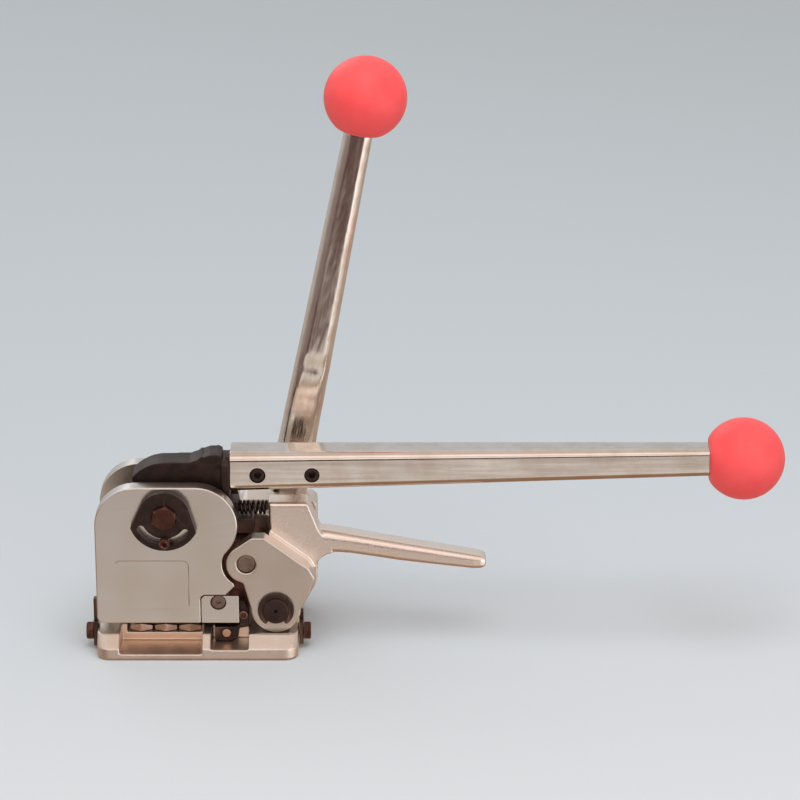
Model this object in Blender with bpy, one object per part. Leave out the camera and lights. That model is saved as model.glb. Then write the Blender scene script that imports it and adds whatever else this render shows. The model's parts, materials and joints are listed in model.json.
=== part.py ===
"""Hand tensioner and sealless sealer for 16 and 19 mm steel strapping.

The base plate lies on the ground plane. +X points along the closed sealing lever, +Y points
to the ratchet side and +Z is up. The origin is on the underside of the base, below the
mid-plane between the two side plates. Sizes are in millimetres until a mesh is made.
"""
import math

import bmesh
import bpy
from mathutils import Matrix, Vector

MM = 0.001
GAP = 0.3                      # between touching pieces
SMOOTH_ANGLE = math.radians(35)

# Strap and strap path
STRAP_WIDTH = 19.0
STRAP_GUIDE_Y = -(STRAP_WIDTH / 2 + 0.8)

# Base plate
BASE_HALF_LENGTH = 61.2
BASE_FRONT_Y = -37.5
BASE_BACK_Y = 15.2
BASE_TOP = 14.5
BASE_CHAMFER = 7.3
BASE_CORNER = 8.0
DIE_POCKET_X = (-47.2, 3.0)
DIE_POCKET_FLOOR = 4.0
DIE_POCKET_BACK_Y = -15.0
DIE_SEAT_X = (-44.0, 2.0)
DIE_SEAT_FLOOR = 9.0
DIE_SEAT_BACK_Y = 12.0
GRIPPER_POCKET_X = (8.2, 31.2)
GRIPPER_POCKET_FLOOR = 6.8
GRIPPER_POCKET_BACK_Y = -17.3
ANVIL_X = (35.5, 54.5)
ANVIL_HALF_Y = 10.8
ANVIL_FLOOR = 11.0

# Side plates
PLATE_INNER = 15.5
PLATE_OUTER = 25.5
PLATE_LEFT = -61.2
PLATE_TOP = 108.0
PLATE_BOTTOM = 19.5
PLATE_CORNER = 25.0
REAR_PLATE_BOTTOM = 3.0

# Fasteners and pins, as (x, z) unless noted
REAR_SCREW_X = (-52.0, -20.0, 18.0)
REAR_SCREW_Z = 5.6
REAR_SCREW_R = 2.5
TIE_PINS = {"upper": (-53.5, 77.0), "lower": (-57.4, 25.0)}
TIE_PIN_R = 2.5
CUTTER_SCREW = (12.8, 33.3)
CUTTER_SCREW_R = 2.3
CLAMP_SCREW_R = 1.7
GUIDE_BOLT = (-14.9, 10.2)      # y, z
GUIDE_BOLT_R = 2.4
GUIDE_BOLT_TIP = 55.0

# Springs, as mean radius and wire radius
SPRING_Z = 85.7
RETURN_SPRING_X = (24.9, 43.2)
RETURN_SPRING = (3.75, 0.75)
CARRIER_SPRING_Y = 9.0
CARRIER_SPRING = (2.2, 0.5)

# Pivots, as (x, z)
SEAL_PIVOT = (-18.6, 91.0)
ROCKER_PIVOT = (30.1, 58.1)
FEED_AXIS = (47.8, 28.6)
GRIPPER_PIVOT = (27.9, 24.5)
DRIVE_PAWL_PIVOT = (59.8, 49.4)
HOLDING_PAWL_PIVOT = (36.0, 50.0)

# Rocker
ROCKER_LOBE_R = 12.2
ROCKER_CLEARANCE_R = 14.6
FEED_LOBE_R = 15.0
ROCKER_PIN_R = 5.5
ROCKER_BODY_HALF = 8.5
ROCKER_FACE_X = 43.5
HANDLE_SECTIONS = (             # x, top, bottom, half width
    (79.0, 72.4, 59.6, 8.3), (93.0, 70.0, 58.6, 8.1), (123.0, 64.6, 53.7, 7.7),
    (168.0, 56.6, 48.6, 7.1), (173.5, 55.2, 48.8, 6.4), (176.0, 53.4, 50.4, 4.4))
PAWL_PIN_R = 2.1

# Feed shaft, wheel and ratchet
SHAFT_R = 8.0
FEED_WHEEL_R = 13.9
FEED_WHEEL_HALF = 10.0
FEED_WHEEL_TEETH = 36
RATCHET_TEETH = 24
RATCHET_TIP_R = 16.0
RATCHET_ROOT_R = 13.0
RATCHET_Y = (27.0, 35.8)

# Depth adjuster on the axle of the sealing lever
AXLE_R = 8.0
AXLE_FRONT_R = 7.0
AXLE_REAR_R = 6.0
SECTOR_Y = (-30.8, -25.8)
SECTOR_LOWER_R = 21.6
SECTOR_UPPER_R = 15.7
SLOT_R = 16.0
SLOT_HALF = 2.3
SLOT_ANGLES = (208, 322)

# Sealing lever and its cam
CAM_LOW = 24.0
CAM_RISE_PER_RADIAN = 3.0
SEAL_DISC_R = 26.8
SEAL_HALF = 9.0
SEAL_TUBE_START = (20.5, 112.2)
SEAL_KNOB = (332.2, 117.4)
SEAL_SCREW_X = (37.2, 70.1)
SEAL_SCREW_Z = 110.9
SEAL_SCREW_R = 4.2

# Punch carrier and dies
CARRIER_X = (-45.0, 4.8)
CARRIER_Z = (36.0, 66.4)
CARRIER_LEDGE_X = -56.5
CARRIER_LEDGE_Z = (50.0, 60.0)
DIE_COUNT = 3
DIE_PITCH = 15.0
DIE_WIDTH = 13.7
DIE_FIRST_X = -42.3

# Tension lever
TENSION_KNOB = (102.7, 332.8)
TENSION_SLOPE = 0.196          # x per z along the lever
TENSION_START_Z = 80.4
TENSION_BEND_Z = 150.0
TENSION_ROOT_Y = 43.0
TENSION_Y = 38.5
HEAD_Y = (36.3, 48.0)
HEAD_HALF_WIDTH = 24.0
HEAD_TOP = 77.5
HEAD_CORNER = 5.0
TENSION_ROOT_HALF = 10.6
TENSION_SCREW_R = 4.0

# Lever tubes and knobs
TUBE_WALL = 2.2
KNOB_R = 25.0
KNOB_FLAT = 21.0
KNOB_STEM_R = 5.0
KNOB_STEM_LENGTH = 12.0


# ---------------------------------------------------------------- materials

def material(name, colour, roughness, metallic):
    """Return a Principled material."""
    made = bpy.data.materials.new(name)
    made.use_nodes = True
    shader = made.node_tree.nodes["Principled BSDF"]
    shader.inputs["Base Color"].default_value = (*colour, 1.0)
    shader.inputs["Roughness"].default_value = roughness
    shader.inputs["Metallic"].default_value = metallic
    return made


FINISHES = {
    "nickel_plate": ((0.62, 0.56, 0.51), 0.28, 1.0),
    "nickel_cast": ((0.66, 0.58, 0.52), 0.45, 1.0),
    "chrome_tube": ((0.70, 0.66, 0.62), 0.16, 1.0),
    "black_oxide": ((0.045, 0.036, 0.034), 0.42, 0.7),
    "brown_steel": ((0.16, 0.09, 0.075), 0.38, 0.8),
    "die_steel": ((0.42, 0.32, 0.28), 0.4, 1.0),
    "copper_pin": ((0.55, 0.36, 0.27), 0.35, 1.0),
    "spring_steel": ((0.05, 0.045, 0.045), 0.35, 0.9),
    "red_plastic": ((0.85, 0.05, 0.06), 0.42, 0.0),
}


# ---------------------------------------------------------------- outlines

def arc(centre, radius, start, end, count):
    """Points on an arc from start to end, both in degrees, as a list of (a, b)."""
    points = []
    for step in range(count + 1):
        angle = math.radians(start + (end - start) * step / count)
        points.append((centre[0] + radius * math.cos(angle), centre[1] + radius * math.sin(angle)))
    return points


def circle(centre, radius, count=24):
    """Points of a closed circle."""
    return arc(centre, radius, 0, 360 * (count - 1) / count, count - 1)


def polygon(centre, across_flats, sides=6, turn=0.0):
    """A regular polygon given by its size across flats."""
    corner = across_flats / 2 / math.cos(math.pi / sides)
    return arc(centre, corner, turn, turn + 360 * (sides - 1) / sides, sides - 1)


def rectangle(low, high):
    """Four corners of an upright rectangle."""
    return [(low[0], low[1]), (high[0], low[1]), (high[0], high[1]), (low[0], high[1])]


def rounded(corners, count=4):
    """Round a polygon. Each corner is (a, b, radius); a radius of 0 stays sharp."""
    points = []
    for index, (a, b, radius) in enumerate(corners):
        here = Vector((a, b))
        before = Vector(corners[index - 1][:2])
        after = Vector(corners[(index + 1) % len(corners)][:2])
        if radius <= 0:
            points.append((a, b))
            continue
        to_before = (before - here).normalized()
        to_after = (after - here).normalized()
        half = to_before.angle(to_after) / 2
        middle = here + (to_before + to_after).normalized() * radius / math.sin(half)
        start = here + to_before * radius / math.tan(half) - middle
        sweep = start.angle_signed(here + to_after * radius / math.tan(half) - middle)
        for step in range(count + 1):
            turn = Matrix.Rotation(-sweep * step / count, 2)
            points.append(tuple(middle + turn @ start))
    return points


# ---------------------------------------------------------------- solids

def at(axis, a, b, along):
    """A point from two cross coordinates and one along X, Y or Z."""
    return {"X": (along, a, b), "Y": (a, along, b), "Z": (a, b, along)}[axis]


def close_mesh(mesh):
    """Make all faces point out."""
    bmesh.ops.recalc_face_normals(mesh, faces=mesh.faces)
    return mesh


def loft(loops):
    """A closed solid through loops of equal length, with flat ends."""
    mesh = bmesh.new()
    rings = [[mesh.verts.new(point) for point in loop] for loop in loops]
    for lower, upper in zip(rings, rings[1:]):
        for index, vert in enumerate(lower):
            after = (index + 1) % len(lower)
            mesh.faces.new((vert, lower[after], upper[after], upper[index]))
    mesh.faces.new(rings[0])
    mesh.faces.new(rings[-1])
    return close_mesh(mesh)


def hollow_loft(outer, inner):
    """A tube open at both ends, from outer and inner loops of equal length."""
    mesh = bmesh.new()
    loops = outer + inner[::-1]
    rings = [[mesh.verts.new(point) for point in loop] for loop in loops]
    for lower, upper in zip(rings, rings[1:] + rings[:1]):
        for index, vert in enumerate(lower):
            after = (index + 1) % len(lower)
            mesh.faces.new((vert, lower[after], upper[after], upper[index]))
    return close_mesh(mesh)


def prism(axis, outline, low, high):
    """An outline drawn straight along an axis."""
    return loft([[at(axis, a, b, along) for a, b in outline] for along in (low, high)])


def rod(axis, centre, radius, low, high, count=24):
    """A plain round bar."""
    return prism(axis, circle(centre, radius, count), low, high)


def turned(axis, centre, profile, count=24):
    """A turned solid; the profile is a list of (along, radius)."""
    loops = []
    for along, radius in profile:
        loops.append([at(axis, a, b, along) for a, b in circle(centre, radius, count)])
    return loft(loops)


def box_loft(centres, across, half_across, half_y, corner):
    """A bar with rounded corners through centre points; its other cross direction is Y."""
    side = Vector((0, 1, 0))
    outline = rounded([(-half_across, -half_y, corner), (half_across, -half_y, corner),
                       (half_across, half_y, corner), (-half_across, half_y, corner)], 3)
    return loft([[tuple(middle + across * a + side * b) for a, b in outline] for middle in centres])


def coil(axis, centre, radius, wire, low, high, turns, steps=12, sides=6):
    """A helical spring whose wire starts and ends square to its path."""
    loops = []
    first = low + wire
    rise = high - low - 2 * wire
    total = int(turns * steps)
    for step in range(total + 1):
        angle = 2 * math.pi * step / steps
        out_a, out_b = math.cos(angle), math.sin(angle)
        along = first + rise * step / total
        loop = []
        for side in range(sides):
            turn = 2 * math.pi * side / sides
            reach = radius + wire * math.cos(turn)
            loop.append(at(axis, centre[0] + out_a * reach, centre[1] + out_b * reach,
                           along + wire * math.sin(turn)))
        loops.append(loop)
    return loft(loops)


# ---------------------------------------------------------------- objects

class Body:
    """A group of pieces that move as one, held by an empty on its joint axis."""

    def __init__(self, name, pivot, parent=None):
        self.pivot = Vector((pivot[0], 0.0, pivot[1])) * MM
        self.empty = bpy.data.objects.new(name, None)
        self.empty.empty_display_size = 0.01
        bpy.context.collection.objects.link(self.empty)
        self.empty.location = self.pivot
        if parent:
            self.empty.parent = parent.empty
            self.empty.location = self.pivot - parent.pivot

    def piece(self, name, mesh, finish):
        """Add a closed mesh given in millimetres as a named piece of this body."""
        bmesh.ops.transform(mesh, matrix=Matrix.Scale(MM, 4), verts=mesh.verts)
        bmesh.ops.translate(mesh, vec=-self.pivot, verts=mesh.verts)
        data = bpy.data.meshes.new(name)
        mesh.to_mesh(data)
        mesh.free()
        data.shade_smooth()
        data.set_sharp_from_angle(angle=SMOOTH_ANGLE)
        data.materials.append(material(f"{name}_finish", *FINISHES[finish]))
        made = bpy.data.objects.new(name, data)
        bpy.context.collection.objects.link(made)
        made.parent = self.empty
        return made

    def tool(self, target, mesh, operation):
        """Cut, or join, a closed mesh in millimetres with a piece of this body."""
        name = f"{target.name}_tool_{len(target.modifiers)}"
        helper = self.piece(name, mesh, "die_steel")
        helper.hide_render = True
        helper.display_type = "WIRE"
        boolean = target.modifiers.new(name, "BOOLEAN")
        boolean.operation = operation
        boolean.object = helper

    def cut(self, target, *meshes):
        """Remove each mesh from a piece."""
        for mesh in meshes:
            self.tool(target, mesh, "DIFFERENCE")

    def join(self, target, *meshes):
        """Fuse each mesh to a piece."""
        for mesh in meshes:
            self.tool(target, mesh, "UNION")


# ---------------------------------------------------------------- frame

def plate_outline(bottom, notch):
    """Side plate outline; the front plate has a notch for the cutter block."""
    right = [(25.2, bottom)]
    if notch:
        right = [(2.0, bottom), *arc((5.0, 34.9), 3.0, 180, 90, 4), (17.3, 37.9)]
    else:
        right.append((25.2, 38.0))
    tip = arc((21.5, 44.2), 1.3, -40, 50, 3)
    hollow = arc(ROCKER_PIVOT, ROCKER_CLEARANCE_R, 236, 154, 10)
    shoulder = arc((0, PLATE_TOP - PLATE_CORNER), PLATE_CORNER, -35, 90, 16)
    crown = arc((PLATE_LEFT + PLATE_CORNER, PLATE_TOP - PLATE_CORNER), PLATE_CORNER, 90, 180, 12)
    heel = arc((PLATE_LEFT + 4, bottom + 4), 4, 180, 270, 4)
    return heel + right + tip + hollow + shoulder + crown


def base_loop(height, front_y, radius):
    """Outline of the base at one height."""
    left, right = -BASE_HALF_LENGTH, BASE_HALF_LENGTH
    outline = rounded([(left, front_y, radius), (right, front_y, radius),
                       (right, BASE_BACK_Y, 0), (left, BASE_BACK_Y, 0)], 6)
    return [(x, y, height) for x, y in outline]


def add_base(frame):
    """Base plate with its pockets, the die seat, screw holes and room for the rocker lobes."""
    base = frame.piece("base_plate", loft([
        base_loop(0, BASE_FRONT_Y + 0.8, BASE_CORNER - 0.8),
        base_loop(0.8, BASE_FRONT_Y, BASE_CORNER),
        base_loop(BASE_TOP - BASE_CHAMFER, BASE_FRONT_Y, BASE_CORNER),
        base_loop(BASE_TOP, BASE_FRONT_Y + BASE_CHAMFER, 5.0)]), "nickel_cast")
    above = BASE_TOP + 5
    ahead = BASE_FRONT_Y - 5
    die_left, die_right = DIE_POCKET_X
    seat_left, seat_right = DIE_SEAT_X
    grip_left, grip_right = GRIPPER_POCKET_X
    lobe = FEED_LOBE_R + 1.3
    frame.cut(
        base,
        prism("Z", rectangle((die_left, ahead), (die_right, DIE_POCKET_BACK_Y)), DIE_POCKET_FLOOR, above),
        prism("Z", rectangle((seat_left, -20.0), (seat_right, DIE_SEAT_BACK_Y)), DIE_SEAT_FLOOR, above),
        prism("Z", rectangle((grip_left, ahead), (grip_right, GRIPPER_POCKET_BACK_Y)),
              GRIPPER_POCKET_FLOOR, above),
        rod("Y", FEED_AXIS, lobe, BASE_FRONT_Y + BASE_CHAMFER + 2, -PLATE_INNER + 0.8, 28),
        rod("Y", FEED_AXIS, lobe, PLATE_INNER - 2.5, PLATE_OUTER, 28),
        prism("Z", rectangle((ANVIL_X[0], -ANVIL_HALF_Y), (ANVIL_X[1], ANVIL_HALF_Y)), ANVIL_FLOOR, above))
    for side in (-1, 1):
        ends = sorted((side * (GUIDE_BOLT_TIP - 2), side * (BASE_HALF_LENGTH + 5)))
        frame.cut(base, rod("X", GUIDE_BOLT, GUIDE_BOLT_R + GAP, *ends, 18))
    for x in REAR_SCREW_X:
        frame.cut(base, rod("Y", (x, REAR_SCREW_Z), REAR_SCREW_R + GAP, 0, BASE_BACK_Y + 5, 18))


def add_side_plates(frame):
    """Front and rear side plates with the holes for the axle, pins and screws."""
    front = frame.piece("front_side_plate",
                        prism("Y", plate_outline(PLATE_BOTTOM, True), -PLATE_OUTER, -PLATE_INNER),
                        "nickel_plate")
    rear = frame.piece("rear_side_plate",
                       prism("Y", plate_outline(REAR_PLATE_BOTTOM, False), PLATE_INNER, PLATE_OUTER),
                       "nickel_plate")
    frame.cut(front, rod("Y", SEAL_PIVOT, AXLE_FRONT_R + 0.4, -30, -10, 28))
    frame.cut(rear, rod("Y", SEAL_PIVOT, AXLE_REAR_R + 0.4, 10, 30, 28))
    clamp = (SEAL_PIVOT[0], SEAL_PIVOT[1] - SLOT_R)
    frame.cut(front, rod("Y", clamp, CLAMP_SCREW_R + GAP, -30, -PLATE_INNER - 2, 20))
    for x, z in TIE_PINS.values():
        frame.cut(front, rod("Y", (x, z), TIE_PIN_R + GAP, -PLATE_INNER - 5, 0, 18))
        frame.cut(rear, rod("Y", (x, z), TIE_PIN_R + GAP, 0, PLATE_INNER + 5, 18))
    for x in REAR_SCREW_X:
        frame.cut(rear, rod("Y", (x, REAR_SCREW_Z), REAR_SCREW_R + GAP, 10, 30, 18))


def add_inner_frame(frame):
    """Pivot block, spring seat, tie pins and the pin that the rocker turns on."""
    ear = arc(ROCKER_PIVOT, 11.0, -51, 100, 14)
    block = frame.piece("pivot_block", prism("Y", [
        (6.5, 27), (20, 27), (20, 20.5), (31, 20.5), (31, 44), *ear, (22, 71), (6.5, 71)],
        -PLATE_INNER + GAP, PLATE_INNER - GAP), "nickel_cast")
    frame.cut(block, rod("Y", ROCKER_PIVOT, ROCKER_PIN_R + GAP, -20, 20),
              rod("Y", CUTTER_SCREW, CUTTER_SCREW_R + GAP, -20, -6, 18),
              rod("Y", GRIPPER_PIVOT, 2.2, -20, -6, 20))
    frame.piece("rocker_pivot_pin", turned("Y", ROCKER_PIVOT, [
        (-24.6, 4.9), (-24.0, ROCKER_PIN_R), (24.4, ROCKER_PIN_R), (25.0, 4.9)]), "brown_steel")
    seat = frame.piece("spring_seat", prism("Y", [
        (12, 71.3), (34.4, 71.3), (34.4, 80.8), (24.6, 80.8), (24.6, 91.5), (12, 91.5)], -7.5, 7.5),
        "black_oxide")
    frame.join(seat, rod("X", (0, SPRING_Z), 2.5, 22, 32.5, 20))
    reach = PLATE_INNER + 4.7
    for name, centre in TIE_PINS.items():
        frame.piece(f"tie_pin_{name}", rod("Y", centre, TIE_PIN_R, -reach, reach, 18), "nickel_plate")


def add_springs(frame):
    """Return spring of the rocker and the two springs that draw the punch carrier up."""
    frame.piece("return_spring", coil("X", (0, SPRING_Z), *RETURN_SPRING, *RETURN_SPRING_X, 5.5, 10, 5),
                "spring_steel")
    x, pin_z = TIE_PINS["upper"]
    low = CARRIER_LEDGE_Z[1] + GAP
    high = pin_z - TIE_PIN_R - GAP
    for name, y in (("front", -CARRIER_SPRING_Y), ("rear", CARRIER_SPRING_Y)):
        frame.piece(f"carrier_spring_{name}", coil("Z", (x, y), *CARRIER_SPRING, low, high, 6, 8, 5),
                    "spring_steel")


def gabled_die(x, low, y_front, y_back, eaves, ridge):
    """A die block with a pointed front and back and a roof whose ridge runs along Y."""
    half = DIE_WIDTH / 2
    point = 3.0
    outline = [(x, y_front), (x + half, y_front + point), (x + half, y_back - point),
               (x, y_back), (x - half, y_back - point), (x - half, y_front + point)]
    tops = [ridge, eaves, eaves, ridge, eaves, eaves]
    foot = [(a, b, low) for a, b in outline]
    roof = [(a, b, top) for (a, b), top in zip(outline, tops)]
    mesh = bmesh.new()
    lower = [mesh.verts.new(point_) for point_ in foot]
    upper = [mesh.verts.new(point_) for point_ in roof]
    for index in range(6):
        after = (index + 1) % 6
        mesh.faces.new((lower[index], lower[after], upper[after], upper[index]))
    mesh.faces.new(lower)
    mesh.faces.new((upper[0], upper[1], upper[2], upper[3]))
    mesh.faces.new((upper[3], upper[4], upper[5], upper[0]))
    return close_mesh(mesh)


def die_centres():
    """Name and x of each die, from the left."""
    for index, name in enumerate(("left", "middle", "right")[:DIE_COUNT]):
        yield name, DIE_FIRST_X + DIE_WIDTH / 2 + index * DIE_PITCH


def add_base_inserts(frame):
    """Lower dies, the anvil under the feed wheel and the strap guides."""
    front, back = DIE_POCKET_BACK_Y + GAP, DIE_SEAT_BACK_Y - 0.4
    for name, x in die_centres():
        frame.piece(f"lower_die_{name}",
                    gabled_die(x, DIE_SEAT_FLOOR + GAP, front, back, 12.2, BASE_TOP - 0.1), "die_steel")
    left, right = ANVIL_X
    half = ANVIL_HALF_Y - GAP
    frame.piece("feed_anvil", prism("Z", rectangle((left + GAP, -half), (right - GAP, half)),
                                    ANVIL_FLOOR + GAP, BASE_TOP - 0.1), "die_steel")
    outer = BASE_HALF_LENGTH + GAP + 0.1
    for name, side, top, bottom in (("left", -1, 31.0, 2.0), ("right", 1, 23.0, 3.0)):
        low, high = sorted((side * outer, side * (outer + 2.6)))
        outline = [(-19.5, bottom), (STRAP_GUIDE_Y, bottom), (STRAP_GUIDE_Y, top), (-15.0, top),
                   (-15.0, 17.5), (-19.5, 17.5)]
        guide = frame.piece(f"strap_guide_{name}", prism("X", outline, low, high), "black_oxide")
        frame.cut(guide, rod("X", GUIDE_BOLT, GUIDE_BOLT_R + GAP, low - 1, high + 1, 18))
        head = side * (outer + 2.9)
        bolt = frame.piece(f"strap_guide_bolt_{name}", prism(
            "X", polygon(GUIDE_BOLT, 10.0, 6, 30), *sorted((head, head + side * 4.2))), "brown_steel")
        shank = sorted((side * GUIDE_BOLT_TIP, head + side * 1.0))
        frame.join(bolt, rod("X", GUIDE_BOLT, GUIDE_BOLT_R, *shank, 18))


def add_cutter_block(frame):
    """Cutter block in the front plate's notch, with its countersunk screw."""
    outline = rounded([(2.4, 19.8, 0), (25.3, 19.8, 0), (25.3, 37.5, 0.8), (2.4, 37.5, 3.0)])
    block = frame.piece("cutter_block", prism("Y", outline, -PLATE_OUTER, -PLATE_INNER - 0.1),
                        "nickel_plate")
    bore = CUTTER_SCREW_R + GAP
    sink = turned("Y", CUTTER_SCREW, [(-26.5, 5.9), (-25.5, 4.9), (-23.0, bore), (-10.0, bore)], 18)
    frame.cut(block, sink)
    screw = frame.piece("cutter_block_screw", turned("Y", CUTTER_SCREW, [
        (-25.3, 4.4), (-23.1, CUTTER_SCREW_R), (-6.3, CUTTER_SCREW_R)], 18), "nickel_plate")
    frame.cut(screw, prism("Y", polygon(CUTTER_SCREW, 2.6, 6), -26, -23.6))


def add_rear_screws(frame):
    """Three socket screws that hold the rear plate to the base."""
    for name, x in zip(("left", "middle", "right"), REAR_SCREW_X):
        centre = (x, REAR_SCREW_Z)
        screw = frame.piece(f"rear_plate_screw_{name}", turned("Y", centre, [
            (0.5, REAR_SCREW_R), (25.8, REAR_SCREW_R), (25.8, 4.5), (30.3, 4.5), (30.8, 4.0)], 18),
            "black_oxide")
        frame.cut(screw, prism("Y", polygon(centre, 4.0, 6), 28, 32))


def add_clamp_screw(frame):
    """Socket screw that clamps the adjuster sector to the front plate."""
    centre = (SEAL_PIVOT[0], SEAL_PIVOT[1] - SLOT_R)
    screw = frame.piece("adjuster_clamp_screw", turned("Y", centre, [
        (-34.6, 3.1), (-34.2, 3.5), (-31.1, 3.5), (-31.1, CLAMP_SCREW_R), (-17.8, CLAMP_SCREW_R)], 18),
        "brown_steel")
    frame.cut(screw, prism("Y", polygon(centre, 3.0, 6), -36, -32.2))


# ---------------------------------------------------------------- moving groups

def add_gripper(frame, gripper):
    """Z-shaped gripper lever with its jaw pin, and the screw that it turns on."""
    outline = rounded([(10.2, 16.3, 0.8), (10.2, 7.3, 1.0), (19.0, 7.3, 1.5), (24.6, 9.6, 3.0),
                       (25.4, 15.6, 1.0), (30.8, 16.6, 1.0), (30.6, 24.5, 1.0), (28.6, 33.4, 1.0),
                       (26.0, 33.4, 0.8), (26.0, 18.5, 1.5), (23.0, 16.3, 0.8)], 3)
    lever = gripper.piece("gripper_lever", prism("Y", outline, -23.6, -18.0), "black_oxide")
    jaw = (17.4, 12.2)
    gripper.cut(lever, rod("Y", GRIPPER_PIVOT, 2.1, -30, -10, 20), rod("Y", jaw, 3.0, -30, -10, 18))
    gripper.piece("gripper_jaw_pin", turned("Y", jaw, [(-24.2, 2.2), (-23.8, 2.7), (-17.7, 2.7)], 18),
                  "copper_pin")
    frame.piece("gripper_pivot_screw", turned("Y", GRIPPER_PIVOT, [
        (-24.9, 2.2), (-24.6, 2.6), (-23.9, 2.6), (-23.9, 1.7), (-6.4, 1.7)], 20), "brown_steel")


def sector_outline():
    """Adjuster sector: a wide arc below, a narrow one above, and straight sides."""
    left, right = 194.0, 338.0
    lean = math.degrees(math.acos(SECTOR_UPPER_R / SECTOR_LOWER_R))
    bottom = arc(SEAL_PIVOT, SECTOR_LOWER_R, left + 4, right - 4, 20)
    top = arc(SEAL_PIVOT, SECTOR_UPPER_R, right - 360 + lean, left - lean, 16)
    return bottom + top


def slot_outline(half_width):
    """Arc slot of the sector, as an outline round its centre line."""
    start, end = SLOT_ANGLES
    outer = arc(SEAL_PIVOT, SLOT_R + half_width, start, end, 14)
    inner = arc(SEAL_PIVOT, SLOT_R - half_width, end, start, 14)
    far = arc(arc(SEAL_PIVOT, SLOT_R, end, end, 1)[0], half_width, end, end + 180, 6)
    near = arc(arc(SEAL_PIVOT, SLOT_R, start, start, 1)[0], half_width, start + 180, start + 360, 6)
    return outer + far[1:-1] + inner + near[1:-1]


def add_adjuster(adjuster):
    """Axle with a hex end, its slotted sector and the clip behind the rear plate."""
    axle = adjuster.piece("eccentric_axle", turned("Y", SEAL_PIVOT, [
        (-30.0, AXLE_FRONT_R), (-PLATE_INNER, AXLE_FRONT_R), (-PLATE_INNER, AXLE_R),
        (PLATE_INNER - 0.4, AXLE_R), (PLATE_INNER - 0.4, AXLE_REAR_R), (26.0, AXLE_REAR_R), (26.0, 5.0),
        (27.6, 5.0), (27.6, AXLE_REAR_R), (29.2, AXLE_REAR_R), (29.6, 5.6)], 28), "brown_steel")
    adjuster.join(axle, prism("Y", polygon(SEAL_PIVOT, 13.8, 6, 22), -33.8, -26.5))
    sector = adjuster.piece("adjuster_sector",
                            prism("Y", sector_outline(), *SECTOR_Y), "black_oxide")
    adjuster.cut(sector, prism("Y", slot_outline(SLOT_HALF), -35, -20),
                 rod("Y", SEAL_PIVOT, AXLE_R + 0.4, -35, -20, 28))
    clip = arc(SEAL_PIVOT, 9.5, -230, 50, 20) + arc(SEAL_PIVOT, 5.3, 50, -230, 20)
    adjuster.piece("axle_clip", prism("Y", clip, 26.2, 27.4), "black_oxide")


def cam_point(angle, support, slope):
    """A point of a convex outline from its support function at an angle in degrees."""
    turn = math.radians(angle)
    a = support * math.cos(turn) - slope * math.sin(turn)
    b = support * math.sin(turn) + slope * math.cos(turn)
    return (SEAL_PIVOT[0] + a, SEAL_PIVOT[1] + b)


def add_sealing_lever(lever):
    """Cast bracket with disc, cam, flange and spigot; tube, screws and knob."""
    disc = arc(SEAL_PIVOT, SEAL_DISC_R, 90, 140, 8)
    cam = []
    for step in range(13):
        angle = -200 + step * 110 / 12
        support = CAM_LOW + CAM_RISE_PER_RADIAN * math.radians(angle + 90)
        cam.append(cam_point(angle, support, CAM_RISE_PER_RADIAN))
    heel = arc(SEAL_PIVOT, CAM_LOW, -80, -30, 6)
    arm = [(4.0, 84.0), (9.0, 90.0), (14.6, 98.7), (16.5, 98.7), (16.5, 121.5), (14.5, 122.8),
           (7.9, 122.6), (1.4, 119.8), (-5.0, 117.9)]
    outline = disc + cam + heel + arm
    bracket = lever.piece("lever_bracket", prism("Y", outline, -SEAL_HALF, SEAL_HALF), "black_oxide")
    flange = rounded([(-12.0, 94.2, 4), (12.0, 94.2, 4), (12.0, 119.0, 4), (-12.0, 119.0, 4)])
    start = Vector((SEAL_TUBE_START[0], 0, SEAL_TUBE_START[1]))
    knob = Vector((SEAL_KNOB[0], 0, SEAL_KNOB[1]))
    along = (knob - start).normalized()
    end = knob - along * (KNOB_FLAT + GAP)
    spigot = box_loft([start - along * 2.5, start + along * 62], Vector((0, 0, 1)), 8.9, 8.8, 5.0)
    lever.join(bracket, prism("X", flange, 15.5, 20.0), spigot)
    lever.cut(bracket, rod("Y", SEAL_PIVOT, AXLE_R + 0.4, -20, 20, 28))
    sections = [(start, 12.5, 12.4), (end, 8.7, 8.6)]
    tube = lever_tube(lever, "sealing_lever_tube", sections, Vector((0, 0, 1)), Vector((0, 1, 0)))
    for name, x in zip(("near", "far"), SEAL_SCREW_X):
        centre = (x, SEAL_SCREW_Z)
        lever.cut(tube, rod("Y", centre, SEAL_SCREW_R + GAP, -20, 0, 18))
        lever.cut(bracket, rod("Y", centre, SEAL_SCREW_R + GAP, -20, -2.7, 18))
        screw = lever.piece(f"sealing_screw_{name}", turned("Y", centre, [
            (-12.1, 3.4), (-11.6, SEAL_SCREW_R), (-3.0, SEAL_SCREW_R)], 18), "black_oxide")
        lever.cut(screw, prism("Y", polygon(centre, 4.0, 6), -14, -8.5))
    add_knob(lever, "sealing_knob", knob, along)


def lever_tube(lever, name, sections, across, side):
    """A tapered rounded box tube through sections of (centre, half height, half width)."""
    outer, inner = [], []
    for centre, half_height, half_width in sections:
        for loops, inset, radius in ((outer, 0, 0.56), (inner, TUBE_WALL, 0.5)):
            high, wide = half_height - inset, half_width - inset
            corner = radius * wide
            outline = rounded([(-high, -wide, corner), (high, -wide, corner),
                               (high, wide, corner), (-high, wide, corner)], 5)
            loops.append([tuple(centre + across * a + side * b) for a, b in outline])
    return lever.piece(name, hollow_loft(outer, inner), "chrome_tube")


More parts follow.
